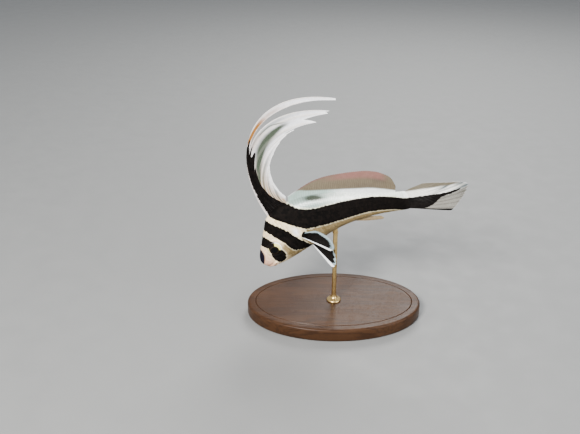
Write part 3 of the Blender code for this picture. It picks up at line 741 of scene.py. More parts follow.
def scale_places():
    """Station, share of the way round, length and width of every scale."""
    rng = np.random.default_rng(SEED)
    found = []
    s, row = SCALES_FROM, 0
    while s < SCALES_TO:
        width = np.interp(s, STATIONS, GIRTHS) / SCALES_ROUND
        step = width * SCALE_STEP
        for k in range(SCALES_ROUND):
            share = (k + 0.5 * (row % 2)) / SCALES_ROUND
            found.append((s + rng.normal(0, 0.03) * step, share + rng.normal(0, 0.02) / SCALES_ROUND,
                          step, rng.random()))
        s += step
        row += 1
    s, share, step, each = np.array(found).T
    a = angle_round(s, share)
    up, left = section(s, a)
    edge = gill_edge(a)
    on_head = (s + step * 1.15 < edge - 0.001) | (np.abs(np.sin(a)) > 0.985)
    on_body = s - step * 0.4 > edge + 0.0045
    keep = (on_head & (s < edge)) | on_body
    keep &= np.hypot(s - EYE_STATION, up - EYE_UP) > EYE_RADIUS + 0.013
    throat = (s < 0.23) & (np.degrees(side_angle(a)) < -52)
    snout = (s < 0.115) & (up < 0.088)
    pectoral = np.hypot(s - PECTORAL_STATION, up - PECTORAL_UP) < 0.016
    keep &= ~(throat | snout | pectoral)
    return s[keep], share[keep], step[keep], each[keep], left[keep]


def scale_shape():
    """One plate: how far along, across and off the skin its points are, and its faces."""
    rows, columns = len(SCALE_LENGTHS), len(SCALE_SIDES)
    lengths = np.array(SCALE_LENGTHS)
    full = np.where(lengths > 0.15, np.sqrt(np.clip(1 - ((lengths - 0.15) / 0.90) ** 2, 0, 1)), 1.0)
    full = np.where(lengths < 0, 0.86, full)
    x = np.repeat(lengths, columns)
    y = np.concatenate([np.array(SCALE_SIDES) * f for f in full])
    x = x - 0.10 * (x > 0.5) * (np.tile(np.abs(SCALE_SIDES), rows) ** 2)
    height = np.interp(x, [-0.35, 0.15, 1.0], [-0.0012, 0.0004, 0.0012]) + 0.0004 * (1 - y**2)
    rim = list(range(columns)) + [r * columns + columns - 1 for r in range(1, rows)]
    rim += [(rows - 1) * columns + k for k in range(columns - 2, -1, -1)]
    rim += [r * columns for r in range(rows - 2, 0, -1)]
    under = rows * columns
    faces = []
    for r in range(rows - 1):
        for k in range(r * columns, (r + 1) * columns - 1):
            faces.append((k, k + columns, k + columns + 1, k + 1))
    for k, (corner, after) in enumerate(zip(rim, rim[1:] + rim[:1])):
        faces.append((corner, after, under + (k + 1) % len(rim), under + k))
    faces.append(tuple(range(under, under + len(rim))))
    x, y = np.concatenate([x, x[rim]]), np.concatenate([y, y[rim]])
    return x, y, np.concatenate([height, height[rim] - SCALE_THICKNESS]), faces


def make_scales(name, finish, chosen):
    """Many thin overlapping plates, each a closed shape that follows the skin under it."""
    s0, share0, step, each = (values[:, None] for values in chosen)
    x, y, height, plate = scale_shape()
    girth = np.interp(s0, STATIONS, GIRTHS)
    s = np.clip(s0 + x[None] * step, 0.06, 0.999)
    share = share0 + y[None] * step * SCALE_STEP / girth
    a = angle_round(s, share)
    points = skin_at(s, a, relief(s, a)) + outward(s, a) * (height[None, :, None] * STANDARD_LENGTH)
    count, size = points.shape[:2]
    faces = [tuple(k + i * size for k in face) for i in range(count) for face in plate]
    mesh = bpy.data.meshes.new(name)
    mesh.from_pydata(points.reshape(-1, 3), [], faces)
    piece = bpy.data.objects.new(name, mesh)
    bpy.context.scene.collection.objects.link(piece)
    root_up, _ = section(s0[:, 0], angle_round(s0[:, 0], share0[:, 0]))
    up, left = section(s, a)
    ragged = band_depth(s0[:, 0] + step[:, 0] * 0.4, root_up)[:, None] + (each - 0.5) * 0.35
    paint(piece, body_colours(s, up, left))
    paint(piece, {
        "band": 0.45 * ragged + 0.55 * band_depth(s, up),
        "growth": np.broadcast_to((x[None] + 0.35) / 1.35, s.shape),
        "across": np.broadcast_to(y[None], s.shape),
        "each": np.broadcast_to(each, s.shape),
    })
    corners = np.zeros(len(mesh.loops), np.int32)
    mesh.loops.foreach_get("vertex_index", corners)
    along = np.broadcast_to(s0 * 0.96 + 0.02, s.shape) + x[None] * 0.0014
    around = np.broadcast_to(np.mod(share0, 1.0) * 0.96 + 0.02, s.shape) + y[None] * 0.0015
    patch = np.stack([along, around], -1).reshape(-1, 2)
    layer = mesh.uv_layers.new(name="OFBake")
    layer.data.foreach_set("uv", patch[corners].astype(np.float32).ravel())
    tidy_mesh(piece, 0, 40)
    return dress(piece, finish, "skin")


band_edge = band_edge_group()
skin_tints = skin_tint_group()
FLANKS = ((1, "left"), (-1, "right"))

make_skin(skin_finish())
scaly = scale_finish()
places = scale_places()
for flank, side in FLANKS:
    here = places[4] * flank >= (0 if flank > 0 else 1e-9)
    make_scales(f"scales_{side}", scaly, [values[here] for values in places[:4]])


# Fins

SAIL_FRONT, SAIL_REAR, SAIL_SWAY, SAIL_LOWER_REACH = 0.235, 0.355, 0.0015, 0.0445
# For each column, from the front: its place along the fin's root, its tip's place aft and up, the
# way its tip points, the share of it that shows, the way its root points, and how far each holds
SAIL_COLUMNS = [
    (0.00, 0.0382, 0.0678, -11, 1.0, 121, 0.583, 0.624), (0.085, 0.0381, 0.0669, -10, 1.0, 121, 0.630, 0.590),
    (0.17, 0.0208, 0.0675, 12, 1.0, 120, 0.725, 0.345), (0.21, 0.0347, 0.0611, -8, 1.0, 123, 0.729, 0.534),
    (0.28, 0.0339, 0.0596, -4, 1.0, 126, 0.665, 0.560), (0.35, 0.0310, 0.0575, -1, 0.89, 130, 0.600, 0.565),
    (0.42, 0.0277, 0.0549, 2, 1.0, 134, 0.545, 0.560), (0.49, 0.0215, 0.0532, 11, 0.82, 138, 0.490, 0.520),
    (0.55, 0.0155, 0.0512, 22, 1.0, 141, 0.458, 0.479), (0.61, 0.0115, 0.0488, 35, 1.0, 143, 0.437, 0.450),
    (0.67, 0.0083, 0.0455, 47, 1.0, 145, 0.414, 0.417), (0.73, 0.0058, 0.0417, 57, 1.0, 148, 0.393, 0.386),
    (0.79, 0.0033, 0.0366, 67, 1.0, 150, 0.371, 0.356), (0.84, 0.0016, 0.0315, 78, 1.0, 151, 0.361, 0.341),
    (0.89, 0.0020, 0.0262, 92, 1.0, 153, 0.360, 0.340), (0.93, 0.0036, 0.0208, 105, 1.0, 155, 0.360, 0.340),
    (0.97, 0.0069, 0.0153, 118, 1.0, 156, 0.360, 0.340), (1.00, 0.0104, 0.0117, 125, 1.0, 157, 0.360, 0.340),
]
SAIL_RAYS = [0, 2, 3, 4, 6, 8, 9.3, 10.6, 12, 13.2, 14.4, 15.6, 17]
SAIL_SEAM, SAIL_GAP_COLUMN, SAIL_STEPS, SAIL_LONGEST_MM = 0.5, 2, 9, 105
SAIL_BLACK_REACH = [
    (0, 47.5), (1.0, 45.5), (2, 43.5), (2.6, 42), (3.5, 40), (4.6, 37.6), (5.4, 32.6), (6.8, 24.6),
    (8.7, 17.2), (10.4, 11.2), (11.3, 8.2), (13.4, 4.0), (14.5, 0.8), (17, -2.0),
]
# The see-through zone, tinted dark green as painted shade of the folded web: millimetres from the back, its
# middle column and its width
SAIL_SHADED_CLEAR_ZONE = [
    (17, 8.5, 0.50), (23.7, 7.95, 1.10), (29, 7.2, 1.45), (35, 6.5, 1.35), (41, 5.75, 1.15),
    (46.4, 5.4, 0.95), (51, 5.2, 0.80), (58, 4.9, 0.42), (64, 4.7, 0.30),
]

VEIL_FRONT, VEIL_REAR, VEIL_RAYS, VEIL_LEAN = 0.362, 0.945, 52, 0.055
VEIL_HEIGHT = [
    (0.0, 0.030), (0.08, 0.050), (0.18, 0.077), (0.38, 0.108), (0.55, 0.126), (0.72, 0.129),
    (0.84, 0.115), (0.95, 0.078), (1.0, 0.035),
]
VEIL_PALE_HEIGHT = [
    (0.36, 0.045), (0.413, 0.044), (0.437, 0.034), (0.462, 0.026), (0.50, 0.020), (0.578, 0.016),
    (0.645, 0.019), (0.717, 0.023), (0.79, 0.027), (0.861, 0.023), (0.945, 0.010),
]

KEEL_FRONT, KEEL_REAR, KEEL_RAYS, KEEL_SWEEP = 0.640, 0.730, 9, math.radians(5)
KEEL_LENGTH = [(0.0, 0.10), (0.12, 0.165), (0.3, 0.175), (0.6, 0.145), (1.0, 0.095)]

TAIL_FIN_RAYS = 19
TAIL_FIN_ROOT_TOP, TAIL_FIN_ROOT_BOTTOM = 0.062, 0.042
TAIL_FIN_UPPER_EDGE, TAIL_FIN_LOWER_EDGE = 0.32, 0.64
TAIL_FIN_SPREAD = [(0.0, 0.0), (0.12, 0.016), (0.28, 0.038), (0.58, 0.066), (0.89, 0.092), (1.0, 0.098)]
TAIL_FIN_LOWER_SPREAD, TAIL_FIN_CURL, TAIL_FIN_SUNK = 1.22, 0.9, 0.022
TAIL_BROWN_FROM = [(1.0, 0.068), (1.11, 0.065), (1.15, 0.061), (1.21, 0.054), (1.26, 0.044), (1.4, 0.02)]

PECTORAL_ROOTS = ((0.307, -0.005), (0.325, 0.012))
PECTORAL_WAYS = ((0.48, 0.50, -0.57), (0.80, 0.45, -0.05))
PECTORAL_LENGTHS = [(0.0, 0.185), (0.15, 0.206), (0.4, 0.200), (0.7, 0.158), (1.0, 0.095)]
PELVIC_ROOTS = ((0.318, -0.112), (0.345, -0.113))
PELVIC_WAYS = ((0.12, 0.48, -1.0), (0.75, 0.22, -0.75))
PELVIC_LENGTHS = [(0.0, 0.175), (0.15, 0.180), (0.4, 0.160), (0.7, 0.125), (1.0, 0.085)]

WEB, RAY = 0.00020, 0.00062
RAY_HALF_WIDTH = 0.20
ROOT_SUNK = 0.007


def fin_grid(name, across, out):
    """A flat grid, with each point's share of the way along the fin's root and outward."""
    nothing_selected()
    bpy.ops.mesh.primitive_grid_add(x_subdivisions=across, y_subdivisions=out, size=1.0)
    piece = named(name)
    flat = points_of(piece)
    return piece, np.clip(flat[:, 0] + 0.5, 0, 1), np.clip(flat[:, 1] + 0.5, 0, 1)


def off_ray(phase):
    """Distance from the nearest ray, in spacings between rays."""
    return np.abs(phase - np.round(phase))


def ray_share(phase, out, fork_at=0.45, fork=0.20):
    """1 on a fin ray and 0 on the web between rays. Each ray forks past the share fork_at."""
    apart = fork * smooth((out - fork_at) / 0.35)
    return np.clip(1 - (np.abs(off_ray(phase) - apart) / RAY_HALF_WIDTH) ** 2, 0, 1)


def notched(phase, depth):
    """The share of a fin's length that is left, as its edge is cut in between rays."""
    return 1 - depth * (2 * off_ray(phase)) ** 2


def finish_fin(piece, ray, out, marks, finish, slot, *replaced, root=1.0, gap=None):
    """Paints a fin's marks, gives it ray ridges and a thinning edge, and dresses it.

    Where a gap parts the fin, its faces are taken out before the sheet gets its thickness.
    """
    bare = {key: np.zeros(ray.shape) for key in ("far", "rim", "warm", "cool", "clear")}
    bare.update(band=np.full(ray.shape, -9.0), out=out, tinted=1.0)
    marks = {**bare, **marks}
    marks["ray"] = ray * marks.pop("tinted")
    paint(piece, marks)
    thickness = (WEB + (RAY * root - WEB) * ray) * (1 - 0.55 * out**1.4)
    most = float(thickness.max())
    group = piece.vertex_groups.new(name="thickness")
    for index, share in enumerate(thickness / most):
        group.add([index], float(share), "REPLACE")
    if gap:
        select_faces(piece, gap)
        bpy.ops.mesh.delete(type="FACE")
        bpy.ops.mesh.select_all(action="SELECT")
        bpy.ops.mesh.remove_doubles(threshold=2e-6)
        bpy.ops.object.mode_set(mode="OBJECT")
    modify(piece, "SOLIDIFY", "thickness", thickness=most, offset=0.0, vertex_group="thickness")
    piece.vertex_groups.remove(piece.vertex_groups["thickness"])
    tidy_mesh(piece, 1e-8, 55)
    return dress(piece, finish, slot, *replaced)


def sail_curves(column):
    """For each column of the first dorsal fin: its curve as points and the way along it."""
    rows = [np.interp(column, np.arange(len(SAIL_COLUMNS)), values) for values in zip(*SAIL_COLUMNS)]
    base, x, z, fall, share, rise, held_first, held_last = rows
    s = SAIL_FRONT + (SAIL_REAR - SAIL_FRONT) * base
    aft, _, left = LINE.frame((SAIL_FRONT + SAIL_REAR) / 2)
    level = np.array([aft[0], aft[1], 0]) / math.hypot(aft[0], aft[1])
    upright = np.array([0, 0, 1.0])
    front = LINE.place(np.array(SAIL_FRONT), profile(BACK, SAIL_FRONT) + GAP / STANDARD_LENGTH, 0.0)
    away = LINE.place(s, profile(BACK, s) + GAP / STANDARD_LENGTH, 0 * s) - front
    start = np.stack([away @ level, away[:, 2]], 1)
    tip = np.stack([x, z], 1)
    chord = np.linalg.norm(tip - start, axis=1)[:, None]
    rise, fall = np.radians(rise)[:, None], np.radians(fall)[:, None]
    p1 = start + np.concatenate([np.cos(rise), np.sin(rise)], 1) * chord * held_first[:, None]
    p2 = tip - np.concatenate([np.cos(fall), np.sin(fall)], 1) * chord * held_last[:, None]
    t = np.linspace(0, 1, 160)[None, :, None]
    start, p1, p2, tip = (corner[:, None] for corner in (start, p1, p2, tip))
    flat = start * (1 - t) ** 3 + 3 * p1 * t * (1 - t) ** 2 + 3 * p2 * t**2 * (1 - t) + tip * t**3
    lean = away[:, None] - start[..., :1] * level - start[..., 1:] * upright
    aside = lean * (1 - t) - left * SAIL_SWAY * (t * chord[:, None] / 0.076) ** 2
    curves = front + flat[..., :1] * level + flat[..., 1:] * upright + aside
    steps = np.linalg.norm(np.diff(curves, axis=1), axis=2)
    way = np.concatenate([np.zeros((len(column), 1)), np.cumsum(steps, 1)], 1)
    return curves, way, way[:, -1] * share, base


def sail_marks(column, mm, share, ray, phase, out):
    """The first dorsal fin's markings and its painted fold shade, by column, millimetres from the back and
    share of the way out.
    """
    fine_line = through([(0, 0.95), (10, 0.85), (17.5, 0.68), (26, 0.40), (34, 0.0), (110, 0.0)], mm)
    behind_line = (column - fine_line) * 0.75 + 0.2 * (fine_line <= 0.001)
    below = (straight(SAIL_BLACK_REACH, column) - mm) * 0.62
    ragged = 3.4 * np.sin(phase * math.pi) ** 2 - 1.7
    core = straight([(45, 0.45), (50, 0.90), (56, 1.15)], mm)
    amber = np.minimum(1.3 * fades(column - core, 0.64 + 0.5 * smooth((55 - mm) / 8)), 1)
    amber = amber * smooth((mm - 44) / 3) * smooth((71 - mm) / 15)
    middle = fades(column - 1.15, 0.60) * smooth((mm - 46) / 6) * smooth((80 - mm) / 14)
    beige = fades(column - 3.6, 0.8) * smooth((mm - 38) / 4) * smooth((56 - mm) / 10)
    filament = (column < SAIL_GAP_COLUMN + 0.5) * (out > SAIL_SEAM)
    warm = filament * np.maximum(amber, 0.55 * middle) + 0.28 * beige
    warm = np.maximum(warm, 0.34 * smooth((2.0 - column) / 0.5) * smooth((40 - mm) / 6))
    # Painted shade: the see-through zone is tinted dark green as the shade of the folded web, and is only
    # partly clear.
    centre, width = (straight([(row[0], row[k]) for row in SAIL_SHADED_CLEAR_ZONE], mm) for k in (1, 2))
    glass = np.minimum(1.25 * fades((column - centre) / width, 1.0), 1)
    glass = glass * smooth((mm - 15) / 5) * smooth((68 - mm) / 10)
    line = fades(column - 3.6 - 0.8 * smooth((mm - 57) / 8), 0.24)
    line = line * smooth((mm - 46) / 5) * smooth((68 - mm) / 8)
    cool = np.clip(np.maximum(glass * (1 - 0.08 * ray), 0.95 * line) * (column > 3), 0, 1)
    # Painted shade: grey-green stripes in every other gap between rays, where the web folds away.
    fold_shade_stripes = 0.66 * fades(np.mod(phase * 0.5 + 0.25, 1) - 0.5, 0.27) * smooth((column - 3) / 0.3)
    fold_shade_stripes = fold_shade_stripes * smooth((0.96 - share) / 0.35)
    rear_edge = 0.9 * smooth((column - 12.5 - 4 * out) / 1.0) * (share > 0.75)
    return {
        "band": np.minimum(below + ragged * (column < 6), behind_line),
        "far": smooth((column - 4.0) / 4.0) * smooth((0.78 - share) / 0.5),
        "rim": np.maximum(smooth((share - 0.93) / 0.05), rear_edge),
        "warm": np.clip(warm, 0, 1),
        "cool": np.clip(np.maximum(cool, fold_shade_stripes), 0, 1),
        "clear": np.clip(0.22 * glass * (1 - ray), 0, 0.6),
        "out": np.clip(mm / SAIL_LONGEST_MM, 0, 1),
    }


def make_sail(finish):
    """The tall first dorsal fin: one sheet, parted above the seam into a filament and a blade."""
    columns = (len(SAIL_COLUMNS) - 1) * SAIL_STEPS
    piece, along, out = fin_grid("first_dorsal_rays", columns, 120)
    index = np.round(along * columns).astype(int)
    column = index / SAIL_STEPS
    curves, way, length, base = sail_curves(np.arange(columns + 1) / SAIL_STEPS)
    phase = np.interp(column, SAIL_RAYS, np.arange(len(SAIL_RAYS)))
    seam = np.minimum(SAIL_LOWER_REACH * (1 - 0.5 * base), length)[index]
    full = length[index] * notched(phase, 0.022 * (column > SAIL_GAP_COLUMN))
    past = np.maximum(full - seam, 0) * (out - SAIL_SEAM) / (1 - SAIL_SEAM)
    reach = np.where(out < SAIL_SEAM, seam * out / SAIL_SEAM, seam + past)
    points = np.zeros((len(out), 3))
    for k in range(columns + 1):
        here = index == k
        for axis in range(3):
            points[here, axis] = np.interp(reach[here], way[k], curves[k, :, axis])
    up = LINE.frame((SAIL_FRONT + SAIL_REAR) / 2)[1]
    points -= up * ROOT_SUNK * STANDARD_LENGTH * fades(reach, 0.0006)[:, None]
    put_points(piece, points)
    share = reach / np.maximum(full, 1e-6)
    ray = np.clip(1 - (off_ray(phase) / 0.24) ** 2, 0, 1)
    marks = sail_marks(column, reach * 1000, share, ray, phase, out)

    def in_gap(face):
        """Whether a face lies between the filament and the blade, above the seam."""
        first = min(column[k] for k in face.vertices) - SAIL_GAP_COLUMN
        lowest = min(out[k] for k in face.vertices)
        return -1e-6 <= first < 1 - 1e-6 and lowest > SAIL_SEAM - 1e-6

    return finish_fin(piece, ray, np.clip(share, 0, 1), marks, finish, "white_fin", "first_dorsal_fin",
                      "first_dorsal_filament", "first_dorsal_blade", root=1.15, gap=in_gap)


def make_veil(finish):
    """The long second dorsal fin."""
    piece, along, out = fin_grid("second_dorsal_rays", VEIL_RAYS * 8, 26)
    s = VEIL_FRONT + (VEIL_REAR - VEIL_FRONT) * along
    phase = along * VEIL_RAYS - 0.5
    ray = ray_share(phase, out, 0.40, 0.21)
    height = through(VEIL_HEIGHT, along) * notched(phase, 0.030 * out)
    over_back = (height + ROOT_SUNK) * out - ROOT_SUNK
    sway = 0.0035 * np.sin(along * 14.0 + 0.6) * out**1.5
    put_points(piece, LINE.place(s + VEIL_LEAN * out * height / 0.13, profile(BACK, s) + over_back, sway))
    pale = through(VEIL_PALE_HEIGHT, s)
    far = smooth((over_back - pale) / 0.010 + 0.5)
    rim = 0.40 * smooth((out - 0.93) / 0.04) * smooth((0.10 - along) / 0.06)
    rim = np.maximum(rim, 0.72 * smooth((s - 0.52) / 0.14) * (1 - far))
    pink = smooth((out - 0.60) / 0.20) * smooth((along - 0.22) / 0.20) * smooth((0.93 - along) / 0.12)
    pink = pink * (0.50 + 0.32 * fades(along - 0.54, 0.16) + 0.22 * fades(along - 0.79, 0.11))
    edge = smooth((out - 0.88) / 0.07) * smooth((along - 0.04) / 0.06) * smooth((0.52 - along) / 0.2)
    dusk = fades(np.hypot((along - 0.81) / 0.08, (out - 0.70) / 0.18), 1.0)
    dusk = np.maximum(dusk, 0.5 * fades(np.hypot((along - 0.70) / 0.16, (out - 0.36) / 0.10), 1.0))
    marks = {"far": far, "rim": rim, "warm": np.maximum(pink, 0.45 * edge),
             "cool": np.maximum(0.42 * dusk, 0.45 * edge), "clear": 0.14 * far * (1 - rim),
             "tinted": 0.30 + 0.45 * far}
    return finish_fin(piece, ray, out, marks, finish, "pale_fin", "second_dorsal_fin", root=0.85)


def make_keel(finish):
    """The short anal fin, folded back under the rear body."""
    piece, along, out = fin_grid("anal_rays", KEEL_RAYS * 10, 30)
    s = KEEL_FRONT + (KEEL_REAR - KEEL_FRONT) * along
    phase = along * KEEL_RAYS - 0.5
    ray = ray_share(phase, out, 0.35, 0.20)
    length = through(KEEL_LENGTH, along) * notched(phase, 0.030 * out)
    lean = KEEL_SWEEP * (1 - 0.35 * along)
    down = profile(BELLY, s) + (length * np.sin(lean) + ROOT_SUNK) * out - ROOT_SUNK
    put_points(piece, LINE.place(s + length * out * np.cos(lean), -down, 0.0015 * np.sin(out * 5) * out))
    line = fades(along - 0.16 - 0.05 * out, 0.055) * smooth((out - 0.25) / 0.2)
    marks = {"far": smooth((out - 0.15) / 0.5), "cool": 0.8 * line,
             "clear": 0.46 * smooth((out - 0.05) / 0.4) * (1 - line)}
    return finish_fin(piece, ray, out, marks, finish, "pale_fin", "anal_fin", root=0.8)


def make_tail_fin(finish):
    """The tail fin: a long lozenge whose middle rays reach furthest."""
    piece, along, out = fin_grid("tail_rays", TAIL_FIN_RAYS * 9, 46)
    side = 1 - 2 * along
    across = np.abs(side)
    phase = along * TAIL_FIN_RAYS - 0.5
    ray = ray_share(phase, out, 0.30, 0.21)
    edge = np.where(side > 0, TAIL_FIN_UPPER_EDGE, TAIL_FIN_LOWER_EDGE)
    curl = TAIL_FIN_CURL + np.where(side > 0, -0.30, 0.45) * across
    reach = (TAIL_FIN_TIP - TAIL_FIN_ROOT) * (1 - (1 - edge) * across**1.3)
    reach = reach * notched(phase, 0.030 * out)
    spread = through(TAIL_FIN_SPREAD, across) * np.where(side > 0, 1.0, -TAIL_FIN_LOWER_SPREAD)
    root = side * np.where(side > 0, TAIL_FIN_ROOT_TOP, TAIL_FIN_ROOT_BOTTOM)
    s = TAIL_FIN_ROOT - TAIL_FIN_SUNK + (reach + TAIL_FIN_SUNK) * out
    shown = np.clip((s - TAIL_FIN_ROOT) / reach, 0, 1)
    root_share = 0.78 + 0.22 * smooth((s - TAIL_FIN_ROOT + TAIL_FIN_SUNK) / 0.036)
    up = root * root_share + (spread - root) * shown**curl
    sway = 0.0022 * np.sin(side * 5.0) * shown**1.5
    put_points(piece, LINE.place(s, up, sway))
    band = band_depth(s, up)
    low_line = (0.048 - np.abs(side + 0.950)) * 30 - 9 * (1 - smooth((shown - 0.15) / 0.2))
    brown = smooth((up - straight(TAIL_BROWN_FROM, s)) / 0.014 + 0.5)
    below_band = smooth((-0.006 - up) / 0.012) * smooth((s - 1.0) / 0.04)
    tip = smooth((s - 1.27) / 0.09)
    streaks = fades(np.mod(phase * 0.5, 1) - 0.5, 0.22) * smooth((s - 1.08) / 0.12)
    dark_streak = fades(np.hypot((s - 1.236) / 6, up - 0.043 - 0.2 * (s - 1.236)), 0.009)
    cool = np.maximum(0.58 * streaks + 0.45 * tip, dark_streak)
    marks = {"band": np.maximum(band, low_line), "far": np.clip(brown + 0.5 * tip, 0, 1),
             "rim": smooth((out - 0.975) / 0.02) * 0.3, "cool": np.clip(cool, 0, 1),
             "warm": np.maximum(0.8 * below_band, 0.93 * brown * (1 - 0.6 * tip)),
             "clear": np.clip(0.70 * below_band + 0.12 * brown + 0.40 * tip, 0, 0.72)}
    return finish_fin(piece, ray, out, marks, finish, "dark_fin", "tail_fin")


def paired_fin(name, flank, roots, ways, lengths, rays, out_faces):
    """A fan from a short root on the flank, with the way along the root and out to its edge."""
    piece, along, out = fin_grid(name, rays * 9, out_faces)
    phase = along * rays - 0.5
    (s0, up0), (s1, up1) = roots
    s = s0 + (s1 - s0) * along
    up = up0 + (up1 - up0) * along
    root = LINE.place(s, up, flank * (skin_side(s, up) - 0.012))
    aft, top, left = LINE.frame((s0 + s1) / 2)
    axes = np.stack([aft, left * flank, top])
    first, last = (np.array(w) @ axes / np.linalg.norm(w) for w in ways)
    way = first + (last - first) * along[:, None]
    way /= np.linalg.norm(way, axis=1, keepdims=True)
    length = through(lengths, along) * STANDARD_LENGTH * notched(phase, 0.045 * out)
    reach = (length * out)[:, None]
    droop = -0.10 * (out**2 * length)[:, None] * top
    cup = (0.00055 * np.sin(along * math.pi) * out**1.5)[:, None] * np.cross(way, top) * flank
    put_points(piece, root + way * reach + droop + cup)
    return piece, along, out, ray_share(phase, out, 0.42, 0.20)


def make_pectoral(flank, side, finish):
    name = f"pectoral_rays_{side}"
    piece, along, out, ray = paired_fin(name, flank, PECTORAL_ROOTS, PECTORAL_WAYS, PECTORAL_LENGTHS, 15, 34)
    white_edge = smooth((0.115 - along) / 0.03)
    ends = 0.91 - 0.10 * smooth((along - 0.40) / 0.3) + 0.03 * np.sin(along * 95)
    inked = np.minimum((along - 0.11) * 22, (0.90 - 0.10 * out - along) * 18)
    inked = np.minimum(inked, (ends - out) * 20)
    fringe = np.maximum(smooth((along - 0.84) / 0.10), smooth((out - ends + 0.04) / 0.10)) * (1 - white_edge)
    marks = {"band": inked, "far": fringe, "rim": white_edge, "clear": 0.56 * fringe * (0.5 + 0.5 * out)}
    return finish_fin(piece, ray, out, marks, finish, "dark_fin", f"pectoral_fin_{side}", root=0.95)


def make_pelvic(flank, side, finish):
    name = f"pelvic_rays_{side}"
    piece, along, out, ray = paired_fin(name, flank, PELVIC_ROOTS, PELVIC_WAYS, PELVIC_LENGTHS, 6, 34)
    white_edge = smooth((0.14 - along) / 0.04)
    inked = np.minimum((along - 0.13) * 16, (0.93 + 0.03 * np.sin(along * 30) - out) * 20)
    fringe = smooth((out - 0.90) / 0.06) * (1 - white_edge)
    marks = {"band": inked, "far": fringe, "rim": white_edge, "clear": 0.35 * fringe}
    return finish_fin(piece, ray, out, marks, finish, "dark_fin", f"pelvic_fin_{side}")


def fin_web_group():
    """Fine wrinkles of a fin's web and the joints along its rays, as a colour share and a height."""
    inputs = {"Ray": 0.0, "Out": 0.0, "Joints": 160.0}
    tree, given, out = new_group("fin web", inputs, ["Mottle", "Height"])
    place = object_place(tree)
    fine, coarse = speckle(tree, place, 3200.0), speckle(tree, place, 520.0)
    joints = times(tree, waves(tree, given["Out"], given["Joints"]), given["Ray"])
    mixed = sum_of(tree, (fine, 0.45), (coarse, 0.55), (joints, 0.035))
    feed(tree, out, {"Mottle": between(tree, mixed, 0.34, 0.66),
                     "Height": sum_of(tree, (fine, 0.6), (joints, 0.4))})
    return tree


def fin_finish(name, near, far, rays, warm, cool, joints):
    """A fin: its web near the root and far out, its rays, a warm and a cool tint, and black marks."""
    finish, tree, shader = new_finish(name, Coat_Roughness=0.22, Specular_IOR_Level=0.06)
    ray = painted(tree, "ray")
    web = placed(tree, fin_web, {"Ray": ray, "Out": painted(tree, "out"), "Joints": joints})
    mottle = web["Mottle"]
    colour = blend(tree, painted(tree, "far"), near, far)
    colour = blend(tree, times(tree, ray, 0.70), colour, rays)
    for key, tint in (("cool", cool), ("warm", warm), ("rim", (0.93, 0.94, 0.95))):
        colour = blend(tree, painted(tree, key), colour, tint)
    darker = times(tree, rest(tree, mottle), 0.30)
    colour = blend(tree, darker, colour, (0.45, 0.42, 0.38), "MULTIPLY")
    edge = placed(tree, band_edge, {"Depth": painted(tree, "band"), "Wander": 0.30, "Softness": 0.14,
                                    "Scale": BAND_EDGE_GRAIN})
    ink = blend(tree, mottle, (0.0012, 0.0010, 0.0009), (0.0060, 0.0044, 0.0038))
    pale = rest(tree, edge["Dark"])
    see_through = times(tree, painted(tree, "clear"), rest(tree, times(tree, ray, 0.7)))
    feed(tree, shader, {
        "Base Color": blend(tree, edge["Dark"], colour, ink),
        "Coat Weight": times(tree, pale, 0.20),
        "Alpha": rest(tree, times(tree, see_through, pale)),
        "Roughness": between(tree, mottle, 0.0, 1.0, 0.46, 0.32),
        "Normal": bump(tree, web["Height"], 0.00005, 0.6),
    })
    return finish


# Eyes


def eye_place(flank):
    """Centre and axes of the left eye (flank 1) or the right one (flank -1)."""
    aft, up, left = LINE.frame(EYE_STATION)
    side = skin_side(np.array(EYE_STATION), np.array(EYE_UP)) + EYE_BULGE - EYE_DEPTH
    centre = LINE.place(np.array(EYE_STATION), EYE_UP, side * flank)
    out = left * flank + up * 0.10 - aft * 0.16
    out /= np.linalg.norm(out)
    top = up - out * np.dot(up, out)
    top /= np.linalg.norm(top)
    rear = np.cross(top, out)
    return centre, rear if rear @ aft > 0 else -rear, top, out


def make_eye(flank, side, finish):
    """An eyeball whose dome stands out of its socket, a little fuller at its middle."""
    centre, rear, top, out = eye_place(flank)
    nothing_selected()
    bpy.ops.mesh.primitive_uv_sphere_add(segments=96, ring_count=72, radius=1.0)
    piece = named(f"eyeball_{side}")
    ball = points_of(piece)
    disc = np.hypot(ball[:, 0], ball[:, 1])
    disc = np.where(ball[:, 2] > 0, disc, 2 - disc)
    dome = ball[:, 2] + 0.05 * fades(disc, 0.42)
    wide, deep = EYE_RADIUS * STANDARD_LENGTH, EYE_DEPTH * STANDARD_LENGTH
    flat = ball[:, :1] * wide * rear + ball[:, 1:2] * wide * top
    put_points(piece, centre + flat + dome[:, None] * deep * out)
    clock = np.degrees(np.arctan2(ball[:, 1], ball[:, 0]))
    pupil = np.where(ball[:, 2] > 0, np.hypot(ball[:, 0] + 0.17, ball[:, 1] + 0.10), 2.0)
    # The rear side, for the pale crescent and for the painted shadow line round the rim.
    behind = smooth((58 - np.abs(clock - 1)) / 9)
    ahead = np.abs(np.mod(clock - 158 + 180, 360) - 180)
    paint(piece, {
        "disc": disc,
        "clock": clock / 180,
        "pupil": pupil,
        "behind": behind,
        "crescent": smooth((pupil - 0.60) / 0.06) * behind,
        # Painted glint: a gold arc at the front edge of the iris.
        "front": smooth((disc - 0.76) / 0.06) * smooth((24 - ahead) / 12),
    })
    tidy_mesh(piece, 1e-9, 80)
    return dress(piece, finish, "eye", f"eye_{side}")


